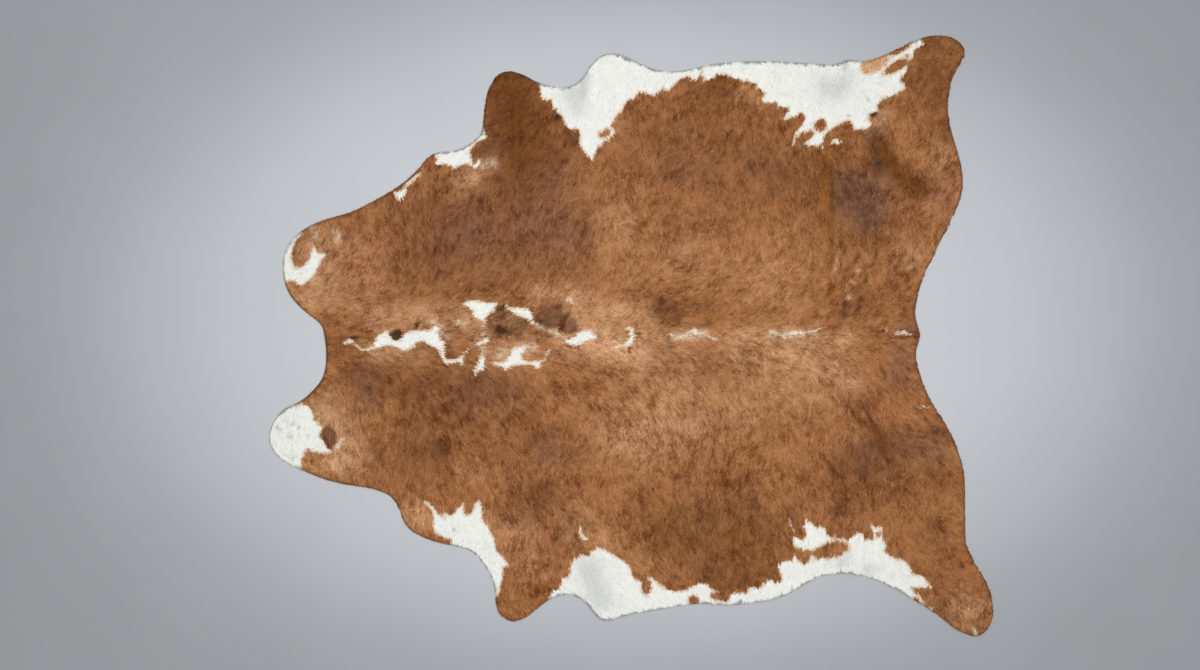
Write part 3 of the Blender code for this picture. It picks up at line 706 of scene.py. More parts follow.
def grid_window(x0, x1, y0, y1, reach):
    """The slices of the grid within this reach of a line's box."""
    first = np.searchsorted(GRID_X, min(x0, x1) - reach)
    last = np.searchsorted(GRID_X, max(x0, x1) + reach)
    low = np.searchsorted(GRID_Y, min(y0, y1) - reach)
    high = np.searchsorted(GRID_Y, max(y0, y1) + reach)
    return slice(first, last), slice(low, high)


def line_distance(x, y, x0, y0, x1, y1):
    """The distance of points from a straight line, and how far along it they lie, from 0 to 1."""
    run_x, run_y = x1 - x0, y1 - y0
    squared = max(run_x**2 + run_y**2, 1e-12)
    along = np.clip(((x - x0) * run_x + (y - y0) * run_y) / squared, 0, 1)
    return np.hypot(x - x0 - along * run_x, y - y0 - along * run_y), along


def near_line(line, reach):
    """The grid window within reach of a line, and its points' distance from it and place along it."""
    window = grid_window(line.x, line.to_x, line.y, line.to_y, reach)
    x, y = GRID_X[window[0]][:, None], GRID_Y[window[1]][None, :]
    return window, *line_distance(x, y, line.x, line.y, line.to_x, line.to_y)


def near_islet(islet):
    """The grid window round an ellipse, and about how far its points lie inside it, negative outside."""
    reach = 2 * islet.half_length + ISLET_MARGIN
    window = grid_window(islet.x, islet.x, islet.y, islet.y, reach)
    x, y = GRID_X[window[0]][:, None] - islet.x, GRID_Y[window[1]][None, :] - islet.y
    turn = math.radians(islet.turn)
    along = x * math.cos(turn) + y * math.sin(turn)
    across = y * math.cos(turn) - x * math.sin(turn)
    return window, (1 - np.hypot(along / islet.half_length, across / islet.half_width)) * islet.half_width


def sample(field, x, y):
    """A grid field's values at these points, between its grid points."""
    column = np.clip((x - GRID_X[0]) / GRID_STEP, 0, GRID_SHAPE[0] - 1.001)
    row = np.clip((y - GRID_Y[0]) / GRID_STEP, 0, GRID_SHAPE[1] - 1.001)
    i, j = column.astype(int), row.astype(int)
    s, t = column - i, row - j
    if field.ndim == 3:
        s, t = s[..., None], t[..., None]
    near = field[i, j] * (1 - s) + field[i + 1, j] * s
    far = field[i, j + 1] * (1 - s) + field[i + 1, j + 1] * s
    return near * (1 - t) + far * t


def blurred(field, reach):
    """The field smoothed by a bell curve whose standard deviation is this reach."""
    across = np.fft.fftfreq(GRID_SHAPE[0], GRID_STEP)[:, None]
    up = np.fft.rfftfreq(GRID_SHAPE[1], GRID_STEP)[None, :]
    bell = np.exp(-2 * (math.pi * reach) ** 2 * (across**2 + up**2))
    return np.fft.irfft2(np.fft.rfft2(field) * bell, s=GRID_SHAPE)


def evened(field):
    """The field with mean 0 and standard deviation 1."""
    return (field - field.mean()) / field.std()


def mottle(seed, reach):
    """Random soft blotches of about this reach."""
    specks = np.random.default_rng(seed).normal(size=GRID_SHAPE)
    return evened(blurred(specks, reach) if reach else specks)


def soft_step(value, low, high):
    """0 below low, 1 above high and smooth between."""
    share = np.clip((value - low) / (high - low), 0, 1)
    return share * share * (3 - 2 * share)


def rounded(points, spans):
    """A smooth closed line through the points, with this many steps to each of their gaps."""
    here = np.array(points, float)[:, None]
    before, after, beyond = np.roll(here, 1, 0), np.roll(here, -1, 0), np.roll(here, -2, 0)
    t = (np.arange(spans) / spans)[None, :, None]
    curve = 2 * here + (after - before) * t
    curve = curve + (2 * before - 5 * here + 4 * after - beyond) * t**2
    curve = curve + (3 * here - before - 3 * after + beyond) * t**3
    return (curve / 2).reshape(-1, 2)


def depth_inside(loop, reach):
    """How far each grid point lies inside a closed line: negative outside, and reach at most."""
    nearest = np.full(GRID_SHAPE, reach)
    inside = np.zeros(GRID_SHAPE, bool)
    for (x0, y0), (x1, y1) in zip(loop, np.roll(loop, -1, axis=0), strict=True):
        window = grid_window(x0, x1, y0, y1, reach)
        x, y = GRID_X[window[0]][:, None], GRID_Y[window[1]][None, :]
        gap, _ = line_distance(x, y, x0, y0, x1, y1)
        nearest[window] = np.minimum(nearest[window], gap)
        rows = np.nonzero((y0 > GRID_Y) != (y1 > GRID_Y))[0]
        if len(rows):
            crossing = x0 + (GRID_Y[rows] - y0) * (x1 - x0) / (y1 - y0)
            inside[:, rows] ^= GRID_X[:, None] < crossing[None, :]
    return np.where(inside, nearest, -nearest)


# --- What the CAD hide gives --------------------------------------------------------------------------


def welded_mesh(obj):
    """The CAD node's points, each once, and its triangles."""
    obj.data.calc_loop_triangles()
    points = np.array([v.co for v in obj.data.vertices], float)
    triangles = np.array([t.vertices[:] for t in obj.data.loop_triangles])
    _, first, index = np.unique(
        np.round(points / 1e-5).astype(int), axis=0, return_index=True, return_inverse=True
    )
    return points[first], index.reshape(-1)[triangles]


def outline_of(points, triangles):
    """The hide's outline, anticlockwise from above: the edge of its underside."""
    corners = points[triangles]
    normals = np.cross(corners[:, 1] - corners[:, 0], corners[:, 2] - corners[:, 0])
    under = triangles[normals[:, 2] < -0.5 * np.linalg.norm(normals, axis=1)]
    edges = np.concatenate([under[:, [0, 1]], under[:, [1, 2]], under[:, [2, 0]]])
    _, index, count = np.unique(
        np.sort(edges, axis=1), axis=0, return_inverse=True, return_counts=True
    )
    following = dict(edges[count[index.reshape(-1)] == 1].tolist())
    loop = [min(following)]
    while following[loop[-1]] != loop[0]:
        loop.append(following[loop[-1]])
    return points[loop[::-1], :2]


def cast_heights(points, triangles, edge):
    """The heights of the hide's underside and top over the whole grid, smoothed past its facets."""
    tree = BVHTree.FromPolygons(points.tolist(), triangles.tolist())
    middle = CAST_EVERY // 2
    xs, ys = GRID_X[middle::CAST_EVERY], GRID_Y[middle::CAST_EVERY]
    below = np.full((len(xs), len(ys)), np.nan)
    above = below.copy()
    for i, x in enumerate(xs):
        for j, y in enumerate(ys):
            if edge[i * CAST_EVERY + middle, j * CAST_EVERY + middle] > EDGE_ROLL:
                hit_below = tree.ray_cast(Vector((x, y, -1)), Vector((0, 0, 1)))[0]
                hit_above = tree.ray_cast(Vector((x, y, 1)), Vector((0, 0, -1)))[0]
                if hit_below and hit_above:
                    below[i, j], above[i, j] = hit_below.z, hit_above.z
    return spread_over_grid(below), spread_over_grid(above)


def spread_over_grid(cast):
    """Cast heights brought to the full grid, smoothed, and carried on past the hide's edge."""
    full = np.repeat(np.repeat(cast, CAST_EVERY, axis=0), CAST_EVERY, axis=1)
    short = [max(0, n - m) for n, m in zip(GRID_SHAPE, full.shape, strict=True)]
    full = np.pad(full, [(0, n) for n in short], constant_values=np.nan)
    full = full[: GRID_SHAPE[0], : GRID_SHAPE[1]]
    known = np.isfinite(full).astype(float)
    heights = np.nan_to_num(full)
    near, far = (
        blurred(heights * known, reach) / np.maximum(blurred(known, reach), 1e-6)
        for reach in (CAST_BLUR, CAST_BLUR_BEYOND)
    )
    return far + (near - far) * soft_step(blurred(known, CAST_BLUR), *CAST_TRUST)


def crease_heights():
    """The small creases as heights over the grid, each tallest halfway along and fading to its ends."""
    total = np.zeros(GRID_SHAPE)
    for crease in in_metres(Crease, CREASES):
        window, gap, along = near_line(crease, 2 * crease.half_width)
        bell = np.exp(-((gap / crease.half_width) ** 2))
        total[window] += crease.rise * bell * (1 - (2 * along - 1) ** 2)
    return total


# --- Fields of the coat -------------------------------------------------------------------------------


def lie_of_hair():
    """The direction in which the hair lies: back along the spine, and outward over the flanks."""
    x, y = GRID_X[:, None], GRID_Y[None, :]
    outward = soft_step(np.abs(y), 0.0, SPINE_REACH)
    angle = SPINE_ANGLE + (FLANK_ANGLE - SPINE_ANGLE) * outward
    angle = angle - RUMP_TURN * soft_step(x, RUMP_FROM, RUMP_TO) * outward
    wander = mottle(11, WANDER_REACHES[0]) + mottle(12, WANDER_REACHES[1])
    angle = angle + LIE_WANDER * wander * (0.5 + 0.5 * outward)
    side = np.tanh(y / PARTING)
    return np.cos(angle), np.sin(angle) * side


def combed(field, lie, length):
    """The field averaged along the lie of the hair, which draws specks out into streaks."""
    total = field.copy()
    for way in (1, -1):
        x, y = np.meshgrid(GRID_X, GRID_Y, indexing="ij")
        for _ in range(round(length / 2 / GRID_STEP)):
            step_x, step_y = sample(lie[0], x, y), sample(lie[1], x, y)
            x, y = x + way * GRID_STEP * step_x, y + way * GRID_STEP * step_y
            total += sample(field, x, y)
    return evened(total)


def linear(colour):
    """A colour written as sRGB hex, as the linear numbers that Blender works in."""
    srgb = np.array([int(colour[i : i + 2], 16) / 255 for i in (0, 2, 4)])
    return np.where(srgb < 0.04045, srgb / 12.92, ((srgb + 0.055) / 1.055) ** 2.4)


def toned(plain, tones):
    """A field of colour: the plain one with each soft tone laid over it."""
    field = np.broadcast_to(linear(plain), (*GRID_SHAPE, 3)).copy()
    for tone in in_metres(Tone, tones):
        window, gap, _ = near_line(tone, TONE_CUTOFF * tone.reach)
        share = tone.strength * np.exp(-((gap / tone.reach) ** 2))[..., None]
        field[window] += (linear(COLOURS[tone.colour]) - field[window]) * share
    return field


def white_depth():
    """How far each grid point lies inside the white hair, negative in the brown."""
    depth = np.full(GRID_SHAPE, -WHITE_REACH)
    for points in WHITE_PATCHES.values():
        depth = np.maximum(depth, patch_depth(points, WHITE_REACH))
    for stroke in in_metres(Stroke, WHITE_STROKES):
        window, gap, _ = near_line(stroke, WHITE_REACH)
        depth[window] = np.maximum(depth[window], stroke.half_width - gap)
    for islet in in_metres(Islet, ISLETS):
        window, inside = near_islet(islet)
        depth[window] = np.minimum(depth[window], -inside)
    return depth


def patch_depth(points, reach):
    """How far each grid point lies inside a patch's line, whose points are in millimetres."""
    return depth_inside(rounded(np.array(points) / 1000, PATCH_SPANS), reach)


def add_spots(brown):
    """Lays the dark spots, and the colours of the islets that aren't plain brown, over the brown."""
    for spot in in_metres(Islet, [*DARK_SPOTS, *ISLETS]):
        if spot.colour != "plain":
            window, inside = near_islet(spot)
            share = soft_step(inside, *SPOT_FADE)[..., None]
            brown[window] += (linear(COLOURS[spot.colour]) - brown[window]) * share


def add_patches(brown):
    """Lays the dark patches over the brown."""
    for patch in in_metres(Patch, DARK_PATCHES):
        depth = patch_depth(patch.points, PATCH_REACH)
        share = patch.strength * soft_step(depth, -patch.softness, patch.softness)[..., None]
        brown += (linear(COLOURS[patch.colour]) - brown) * share


class Coat:
    """Every field of the coat, on the grid."""

    def __init__(self, hide):
        points, triangles = welded_mesh(hide)
        self.outline = rounded(outline_of(points, triangles), RIM_SPANS)
        self.edge = depth_inside(self.outline, OUTLINE_REACH)
        self.lift, self.top = cast_heights(points, triangles, self.edge)
        self.lie = lie_of_hair()
        self.fine = combed(mottle(21, 0), self.lie, FINE_COMB)
        self.broad = combed(mottle(22, BROAD_GRAIN), self.lie, BROAD_COMB)
        self.blotches = [(kind.light, mottle(kind.seed, kind.reach)) for kind in BLOTCHES]
        self.white = white_depth()
        self.brown_colour = toned(BROWN, BROWN_TONES)
        self.white_colour = toned(WHITE, WHITE_TONES)
        add_patches(self.brown_colour)
        add_spots(self.brown_colour)
        self.hair_top = self.top_of_hair()

    def top_of_hair(self):
        """The height of the outer hair: the CAD top, rolled down at the edge, with creases and streaks."""
        roll = EDGE_ROLL - np.clip(self.edge, 0, EDGE_ROLL)
        fall = (EDGE_ROLL - np.sqrt(EDGE_ROLL**2 - roll**2)) / EDGE_ROLL
        top = self.top - EDGE_ROLL_SHARE * fall * (self.top - self.lift - LEATHER)
        top += crease_heights() * soft_step(self.edge, 0, RELIEF_MARGIN)
        streaks = np.clip(self.broad, -2, 2) * soft_step(self.edge, 0, STREAK_MARGIN)
        return top + STREAK_RELIEF * streaks

    def colours(self, x, y, draw):
        """The colour of hair that shows at these points. The random draws vary it from lock to lock."""
        lie_x, lie_y = sample(self.lie[0], x, y), sample(self.lie[1], x, y)
        fine, broad = sample(self.fine, x, y), sample(self.broad, x, y)
        shift = RAGGED_BORDER[0] * fine + RAGGED_BORDER[1] * broad
        shift += RAGGED_BORDER[2] * draw.normal(size=len(x))
        x, y = x + shift * lie_x, y + shift * lie_y
        depth = sample(self.white, x, y) + BORDER_SCATTER * draw.normal(size=len(x))
        lightness = FINE_LIGHT * fine + BROAD_LIGHT * broad + LOCK_LIGHT * draw.normal(size=len(x))
        for light, blotch in self.blotches:
            lightness += light * sample(blotch, x, y)
        paler = np.clip(lightness, 0, PALEST)[:, None] * PALE_CAST
        darker = np.clip(-lightness, 0, DARKEST)[:, None] * DARK_CAST
        brown = sample(self.brown_colour, x, y) * (1 + paler - darker)
        faint = 1 + WHITE_LIGHTS[0] * fine + WHITE_LIGHTS[1] * broad
        faint = (faint + WHITE_LIGHTS[2] * draw.normal(size=len(x)))[:, None]
        white = sample(self.white_colour, x, y) * faint
        cream = linear(CREAM) * faint
        pure = soft_step(depth, *CREAM_FADE)[:, None]
        pale = soft_step(depth, *BORDER_FADE)[:, None]
        pale_colour = cream + (white - cream) * pure
        # Painted shade where the coat rolls down at the cut edge, with the darker leather edge there.
        rim = 1 - soft_step(sample(self.edge, x, y), 0, RIM_WIDTH)[:, None]
        brown = brown * (1 - RIM_SHADE_AND_LEATHER * rim)
        pale_colour = pale_colour * (1 - PALE_RIM_SHADE_AND_LEATHER * rim**2)
        return np.clip(brown + (pale_colour - brown) * pale, 0, 1)


# --- Meshes -------------------------------------------------------------------------------------------


def new_mesh(name, points, triangles):
    """A smooth-shaded mesh object from arrays."""
    mesh = bpy.data.meshes.new(name)
    mesh.vertices.add(len(points))
    mesh.vertices.foreach_set("co", points.astype(np.float32).ravel())
    mesh.loops.add(3 * len(triangles))
    mesh.loops.foreach_set("vertex_index", triangles.astype(np.int32).ravel())
    mesh.polygons.add(len(triangles))
    starts = np.arange(0, 3 * len(triangles), 3, dtype=np.int32)
    mesh.polygons.foreach_set("loop_start", starts)
    mesh.update(calc_edges=True)
    mesh.shade_smooth()
    obj = bpy.data.objects.new(name, mesh)
    bpy.context.scene.collection.objects.link(obj)
    return obj


def colour_points(obj, colours):
    """Gives each vertex its colour."""
    layer = obj.data.color_attributes.new("hair_colour", "FLOAT_COLOR", "POINT")
    full = np.ones((len(colours), 4), np.float32)
    full[:, :3] = colours
    layer.data.foreach_set("color", full.ravel())


def map_corners(obj, name, places):
    """Gives each vertex its place on a map."""
    layer = obj.data.uv_layers.new(name=name)
    corners = np.empty(len(obj.data.loops), np.int32)
    obj.data.loops.foreach_get("vertex_index", corners)
    layer.uv.foreach_set("vector", places[corners].astype(np.float32).ravel())


def inward(loop, distance):
    """An anticlockwise loop moved inwards by a small distance."""
    run = np.roll(loop, -1, axis=0) - np.roll(loop, 1, axis=0)
    run /= np.linalg.norm(run, axis=1)[:, None]
    return loop + distance * np.stack([-run[:, 1], run[:, 0]], axis=1)


def lattice(step, jitter, seed):
    """A lattice of even triangles over the grid, each point moved at random by up to jitter steps."""
    rows = np.arange(GRID_Y[0], GRID_Y[-1], step * math.sqrt(0.75))
    columns = np.arange(GRID_X[0], GRID_X[-1], step)
    x = np.tile(columns, len(rows)) + np.repeat(np.arange(len(rows)) % 2, len(columns)) * step / 2
    y = np.repeat(rows, len(columns))
    draw = np.random.default_rng(seed)
    moved = draw.uniform(-jitter * step, jitter * step, size=(2, len(x)))
    return x + moved[0], y + moved[1]


def plan(coat, inset, step):
    """Flat triangles that fill the outline: (points, triangles, how many of the points are the rim)."""
    rim = inward(coat.outline, inset)
    x, y = lattice(step, 0, 0)
    kept = sample(coat.edge, x, y) > inset + 0.5 * step
    points = [Vector(p) for p in rim.tolist()]
    points += [Vector(p) for p in zip(x[kept].tolist(), y[kept].tolist(), strict=True)]
    edges = [(i, (i + 1) % len(rim)) for i in range(len(rim))]
    found, _, faces, sources, _, _ = delaunay_2d_cdt(points, edges, [], 1, 1e-7)
    assert len(found) == len(points) and all(s == [i] for i, s in enumerate(sources))
    return np.array(found, float).reshape(-1, 2), np.array(faces), len(rim)


def closed_sheet(name, over, under, over_height, under_height):
    """A closed sheet between two plans that share their rim, at heights given by functions of (x, y)."""
    (over_points, over_faces, rim), (under_points, under_faces, _) = over, under
    top = np.column_stack([over_points, over_height(*over_points.T)])
    bottom = np.column_stack([under_points, under_height(*under_points.T)])
    first = len(top)
    here = np.arange(rim)
    after = (here + 1) % rim
    wall = [(here, first + here, after), (after, first + here, first + after)]
    walls = np.concatenate([np.column_stack(w) for w in wall])
    triangles = np.concatenate([over_faces, under_faces[:, ::-1] + first, walls])
    return new_mesh(name, np.concatenate([top, bottom]), triangles)


def leather_sheet(coat, coarse):
    """The skin: a closed sheet on the CAD underside, cut to the outline."""

    def under(x, y):
        return np.maximum(sample(coat.lift, x, y), 0)

    def over(x, y):
        return under(x, y) + LEATHER

    return closed_sheet("skin", coarse, coarse, over, under)


def undercoat_shell(coat):
    """The short dense hair under the locks: a closed shell on the leather."""

    def over(x, y):
        return sample(coat.hair_top, x, y) - UNDERCOAT_SINK

    def under(x, y):
        return np.maximum(sample(coat.lift, x, y), 0) + LEATHER - UNDERCOAT_OVERLAP

    fine = plan(coat, UNDERCOAT_INSET, UNDERCOAT_STEP)
    coarse = plan(coat, UNDERCOAT_INSET, 2 * LEATHER_STEP)
    obj = closed_sheet("undercoat", fine, coarse, over, under)
    places = np.concatenate([fine[0], coarse[0]])
    colours = coat.colours(*places.T, np.random.default_rng(31))
    # The undercoat's colour is darkened as painted shade between the locks.
    colour_points(obj, colours * UNDERCOAT_SHADE)
    return obj


def lock_roots(coat):
    """The plan place of every lock's root, sorted from the neck to the tail."""
    x, y = lattice(LOCK_SPACING, LOCK_JITTER, 41)
    kept = sample(coat.edge, x, y) > ROOT_MARGIN
    x, y = x[kept], y[kept]
    order = np.argsort(x, kind="stable")
    return x[order], y[order]


def lock_points(coat, x, y, draw):
    """The five points of each lock, as an array (locks, 5, 3), with its direction and its length."""
    count = len(x)
    angle = np.arctan2(sample(coat.lie[1], x, y), sample(coat.lie[0], x, y))
    angle = angle + LOCK_TURN_SPREAD * draw.normal(size=count)
    way = np.column_stack([np.cos(angle), np.sin(angle)])
    side = np.column_stack([-way[:, 1], way[:, 0]])
    length = LOCK_LENGTH * np.exp(LOCK_LENGTH_SPREAD * draw.normal(size=count))
    length = np.clip(length, *LOCK_LENGTH_LIMITS)
    here = np.column_stack([x, y])
    for _ in range(SHORTENINGS):
        tip = here + way * length[:, None]
        length = np.where(sample(coat.edge, *tip.T) < -TIP_OVERHANG, SHORTER * length, length)
    half = side * (0.5 * LOCK_WIDTH * draw.uniform(*LOCK_WIDTH_SPREAD, size=count))[:, None]
    root = LOCK_ROOT_SHARE * half
    bend = draw.normal(size=count) * LOCK_BEND * length
    middle = here + way * (0.5 * length)[:, None] + side * bend[:, None]
    tip = here + way * length[:, None]
    places = np.stack([here - root, here + root, middle - half, middle + half, tip], axis=1)
    height = sample(coat.hair_top, places[..., 0], places[..., 1])
    roll = LOCK_ROLL * draw.uniform(-1, 1, size=count)
    rise = LOCK_RISE * draw.uniform(*LOCK_RISE_SPREAD, size=count)
    inner = soft_step(sample(coat.edge, x, y), 0, STREAK_MARGIN)
    rise = rise * (EDGE_RISE + (1 - EDGE_RISE) * inner)
    height[:, :2] -= UNDERCOAT_SINK + LOCK_SINK
    height[:, 2] += rise - UNDERCOAT_SINK + roll
    height[:, 3] += rise - UNDERCOAT_SINK - roll
    height[:, 4] += LOCK_TIP_RISE * rise - UNDERCOAT_SINK
    height[:, 4] -= TIP_DROOP * np.clip(-sample(coat.edge, *tip.T), 0, None)
    height = np.maximum(height, LOWEST_HAIR)
    return np.concatenate([places, height[..., None]], axis=2), way, length


def hair_band(coat, name, x, y, seed):
    """One joined mesh of locks: three triangles to a lock."""
    draw = np.random.default_rng(seed)
    points, way, length = lock_points(coat, x, y, draw)
    seen = np.column_stack([x, y]) + way * (SEEN_AT * length)[:, None]
    colours = coat.colours(*seen.T, draw)
    # Painted shade at each lock's root and a lighter tip, both less in pale hair.
    even = PALE_EVENNESS * soft_step(colours.max(axis=1)[:, None], *PALE_RANGE)
    painted_shading = 1 + (LOCK_PAINTED_SHADING - 1) * (1 - even)
    point_colours = np.clip(colours[:, None] * painted_shading[..., None], 0, 1)
    triangles = points.shape[1] * np.arange(len(x))[:, None, None] + LOCK_TRIANGLES
    obj = new_mesh(name, points.reshape(-1, 3), triangles.reshape(-1, 3))
    colour_points(obj, point_colours.reshape(-1, 3))
    map_corners(obj, "OFBake", bake_map(points[..., :2]))
    map_corners(obj, "strand", strand_map(len(x), draw))
    return obj


def bake_map(flat):
    """The baking map: the locks' plan, each lock drawn in towards its middle so that they overlap less."""
    centre = flat.mean(axis=1, keepdims=True)
    small = centre + (flat - centre) * BAKE_SHRINK
    corner, span = small.min(axis=(0, 1)), np.ptp(small, axis=(0, 1)).max()
    return (BAKE_BORDER + (1 - 2 * BAKE_BORDER) * (small - corner) / span).reshape(-1, 2)


def strand_map(count, draw):
    """The map that single hairs are drawn on: each lock upright, at a place of its own."""
    shift = np.column_stack([draw.integers(0, 97, count), draw.uniform(0, 9, count)])
    return (LOCK_ON_MAP + shift[:, None]).reshape(-1, 2)


def hair_bands(coat):
    """All the locks, in bands with the same number in each."""
    x, y = lock_roots(coat)
    cuts = np.linspace(0, len(x), len(LOCK_BANDS) + 1).astype(int)
    bands = []
    for index, name in enumerate(LOCK_BANDS):
        part = slice(cuts[index], cuts[index + 1])
        bands.append(hair_band(coat, name, x[part], y[part], 51 + index))
    return bands


# --- Materials ----------------------------------------------------------------------------------------


def new_material(name):
    """An empty node material: (material, its nodes, its links, its shader)."""
    material = bpy.data.materials.new(name)
    material.use_nodes = True
    nodes, links = material.node_tree.nodes, material.node_tree.links
    return material, nodes, links, nodes["Principled BSDF"]


def times(nodes, links, colour, factor):
    """A node that multiplies a colour by a number, both from sockets."""
    mix = nodes.new("ShaderNodeMix")
    mix.data_type = "RGBA"
    mix.blend_type = "MULTIPLY"
    mix.inputs["Factor"].default_value = 1
    links.new(colour, mix.inputs["A"])
    links.new(factor, mix.inputs["B"])
    return mix.outputs["Result"]


def ranged(nodes, links, value, low, high, to_low, to_high):
    """A node that maps a socket's number from one range to another."""
    node = nodes.new("ShaderNodeMapRange")
    node.inputs["From Min"].default_value = low
    node.inputs["From Max"].default_value = high
    node.inputs["To Min"].default_value = to_low
    node.inputs["To Max"].default_value = to_high
    links.new(value, node.inputs["Value"])
    return node.outputs["Result"]


def noise(nodes, links, vector, scale, detail, stretch=(1, 1, 1)):
    """A noise texture's value over stretched coordinates."""
    mapping = nodes.new("ShaderNodeMapping")
    mapping.inputs["Scale"].default_value = stretch
    links.new(vector, mapping.inputs["Vector"])
    texture = nodes.new("ShaderNodeTexNoise")
    texture.inputs["Scale"].default_value = scale
    texture.inputs["Detail"].default_value = detail
    links.new(mapping.outputs["Vector"], texture.inputs["Vector"])
    return texture.outputs["Fac"]


def hair_material():
    """Lying hair: the lock's own colour, with single hairs drawn along it."""
    material, nodes, links, shader = new_material("lying hair")
    colour = nodes.new("ShaderNodeAttribute")
    colour.attribute_name = "hair_colour"
    strand = nodes.new("ShaderNodeUVMap")
    strand.uv_map = "strand"
    hairs = noise(nodes, links, strand.outputs["UV"], 1, 1, stretch=(6, 0.5, 1))
    shade = ranged(nodes, links, hairs, 0.3, 0.7, 0.84, 1.14)
    links.new(times(nodes, links, colour.outputs["Color"], shade), shader.inputs["Base Color"])
    gloss = ranged(nodes, links, hairs, 0.3, 0.7, 0.62, 0.46)
    links.new(gloss, shader.inputs["Roughness"])
    shader.inputs["Specular IOR Level"].default_value = 0.08
    shader.inputs["Sheen Weight"].default_value = 0.02
    shader.inputs["Sheen Roughness"].default_value = 0.45
    return material


def undercoat_material():
    """The matt hair roots between the locks."""
    material, nodes, links, shader = new_material("hair roots")
    colour = nodes.new("ShaderNodeAttribute")
    colour.attribute_name = "hair_colour"
    place = nodes.new("ShaderNodeTexCoord")
    grain = noise(nodes, links, place.outputs["Object"], 420, 3)
    shade = ranged(nodes, links, grain, 0.3, 0.7, 0.78, 1.12)
    links.new(times(nodes, links, colour.outputs["Color"], shade), shader.inputs["Base Color"])
    links.new(ranged(nodes, links, grain, 0.3, 0.7, 0.85, 0.65), shader.inputs["Roughness"])
    shader.inputs["Specular IOR Level"].default_value = 0.2
    return material


def suede_material():
    """The flesh side and the cut edge: pale tanned suede with a fine nap."""
    material, nodes, links, shader = new_material("suede")
    place = nodes.new("ShaderNodeTexCoord")
    cloudy = noise(nodes, links, place.outputs["Object"], 9, 4)
    nap = noise(nodes, links, place.outputs["Object"], 900, 3)
    ramp = nodes.new("ShaderNodeValToRGB")
    ramp.color_ramp.elements[0].position = 0.32
    ramp.color_ramp.elements[0].color = (*linear(SUEDE_DARK), 1)
    ramp.color_ramp.elements[1].position = 0.70
    ramp.color_ramp.elements[1].color = (*linear(SUEDE_PALE), 1)
    links.new(cloudy, ramp.inputs["Fac"])
    shade = ranged(nodes, links, nap, 0.3, 0.7, 0.86, 1.06)
    links.new(times(nodes, links, ramp.outputs["Color"], shade), shader.inputs["Base Color"])
    links.new(ranged(nodes, links, nap, 0.3, 0.7, 0.95, 0.80), shader.inputs["Roughness"])
    shader.inputs["Specular IOR Level"].default_value = 0.2
    bump = nodes.new("ShaderNodeBump")
    bump.inputs["Strength"].default_value = 0.25
    bump.inputs["Distance"].default_value = 0.0004
    links.new(nap, bump.inputs["Height"])
    links.new(bump.outputs["Normal"], shader.inputs["Normal"])
    return material


def floor_material():
    """A plain pale floor, with a pool of painted light round the rug."""
    material, nodes, links, shader = new_material("pale floor")
    place = nodes.new("ShaderNodeTexCoord")
    grain = noise(nodes, links, place.outputs["Object"], 3, 2)
    shade = ranged(nodes, links, grain, 0.3, 0.7, 0.985, 1.015)
    plain = nodes.new("ShaderNodeRGB")
    plain.outputs[0].default_value = FLOOR_COLOUR
    # A pool of painted light: the floor's colour is palest at its centre.
    around = nodes.new("ShaderNodeMapping")
    around.vector_type = "TEXTURE"
    around.inputs["Location"].default_value = FLOOR_LIGHT_CENTRE
    around.inputs["Scale"].default_value = FLOOR_LIGHT_REACH
    links.new(place.outputs["Object"], around.inputs["Vector"])
    nearness = nodes.new("ShaderNodeTexGradient")
    nearness.gradient_type = "SPHERICAL"
    links.new(around.outputs["Vector"], nearness.inputs["Vector"])
    painted_shading = nodes.new("ShaderNodeFloatCurve")
    curve = painted_shading.mapping.curves[0]
    curve.points[0].location, curve.points[1].location = FLOOR_PAINTED_LIGHT[0], FLOOR_PAINTED_LIGHT[-1]
    for nearer, paler in FLOOR_PAINTED_LIGHT[1:-1]:
        curve.points.new(nearer, paler)
    for point in curve.points:
        point.handle_type = "AUTO_CLAMPED"
    painted_shading.mapping.update()
    links.new(nearness.outputs["Fac"], painted_shading.inputs["Value"])
    colour = times(nodes, links, times(nodes, links, plain.outputs[0], shade), painted_shading.outputs["Value"])
    links.new(colour, shader.inputs["Base Color"])
    shader.inputs["Roughness"].default_value = 0.9
    shader.inputs["Specular IOR Level"].default_value = 0.1
    return material


# --- Floor, light and camera --------------------------------------------------------------------------


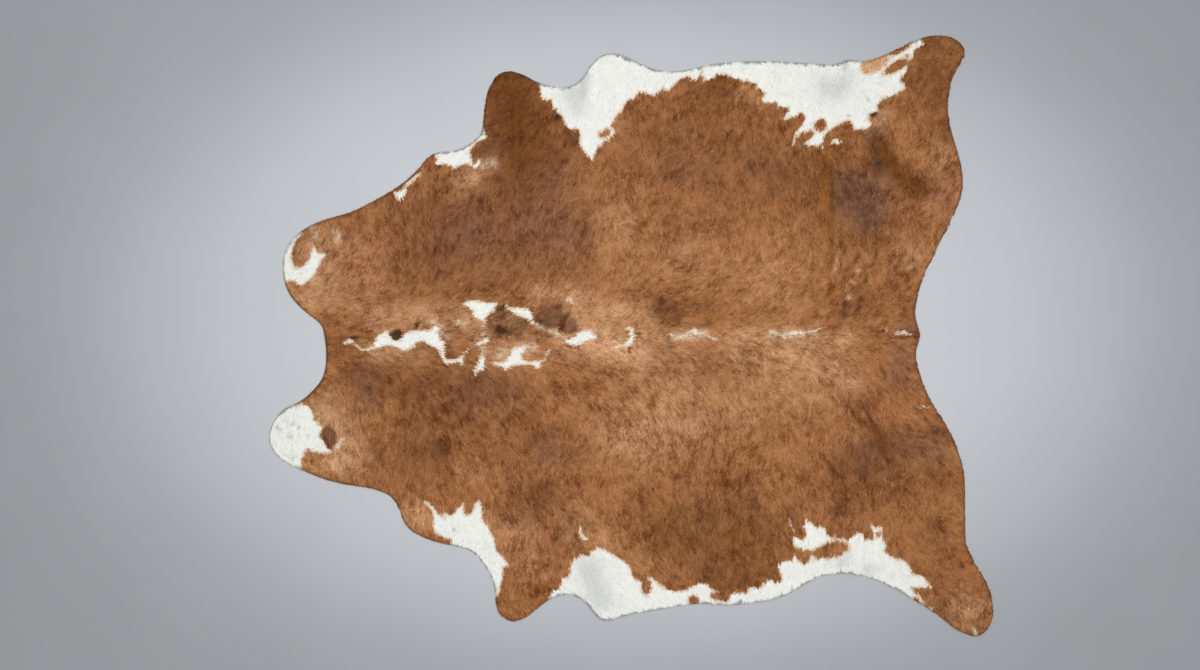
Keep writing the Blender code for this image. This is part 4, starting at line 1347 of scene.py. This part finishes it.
def make_floor():
    """A wide floor at Z 0."""
    corners = 0.5 * FLOOR_SIZE * np.array([(-1, -1, 0), (1, -1, 0), (1, 1, 0), (-1, 1, 0)])
    floor = new_mesh("floor", corners, np.array([(0, 1, 2), (0, 2, 3)]))
    floor.data.materials.append(floor_material())


def area_light(name, place, aim, size, power):
    """A soft oval light that the camera doesn't see."""
    data = bpy.data.lights.new(name, "AREA")
    data.shape = "ELLIPSE"
    data.size, data.size_y = size
    data.energy = power
    light = bpy.data.objects.new(name, data)
    light.location = place
    light.rotation_euler = (Vector(aim) - Vector(place)).to_track_quat("-Z", "Y").to_euler()
    light.visible_camera = False
    bpy.context.scene.collection.objects.link(light)


def make_light():
    """Soft light from overhead, a little from one side, and an evenly bright room."""
    area_light("key", KEY_PLACE, KEY_AIM, KEY_SIZE, KEY_POWER)
    area_light("side", SIDE_PLACE, (0, 0, 0), SIDE_SIZE, SIDE_POWER)
    world = bpy.data.worlds.new("studio")
    world.use_nodes = True
    background = world.node_tree.nodes["Background"]
    background.inputs["Color"].default_value = AMBIENT_COLOUR
    background.inputs["Strength"].default_value = AMBIENT
    bpy.context.scene.world = world
    bpy.context.scene.view_settings.view_transform = "Standard"


def make_camera():
    """The camera looks straight down on the rug, with +Y up in the picture."""
    camera = bpy.data.objects.new("camera", bpy.data.cameras.new("camera"))
    camera.data.lens = LENS
    camera.location = CAMERA_PLACE
    bpy.context.scene.collection.objects.link(camera)
    bpy.context.scene.camera = camera


# --- The rug ------------------------------------------------------------------------------------------


def dress(obj, material):
    """Gives a piece its finish and makes it move with the rug."""
    obj.data.materials.append(material)
    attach(obj, "root")


def make_rug(hide):
    """All the pieces of the rug, built on the CAD hide."""
    coat = Coat(hide)
    skin = leather_sheet(coat, plan(coat, 0, LEATHER_STEP))
    dress(skin, suede_material())
    undercoat = undercoat_shell(coat)
    dress(undercoat, undercoat_material())
    bands = hair_bands(coat)
    hair = hair_material()
    for band in bands:
        dress(band, hair)
    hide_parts("hide")


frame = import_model()
for start_object in [o for o in bpy.data.objects if o.name in ("Cube", "Light", "Camera")]:
    bpy.data.objects.remove(start_object)
make_rug(frame["nodes"]["hide"])
make_floor()
make_light()
make_camera()
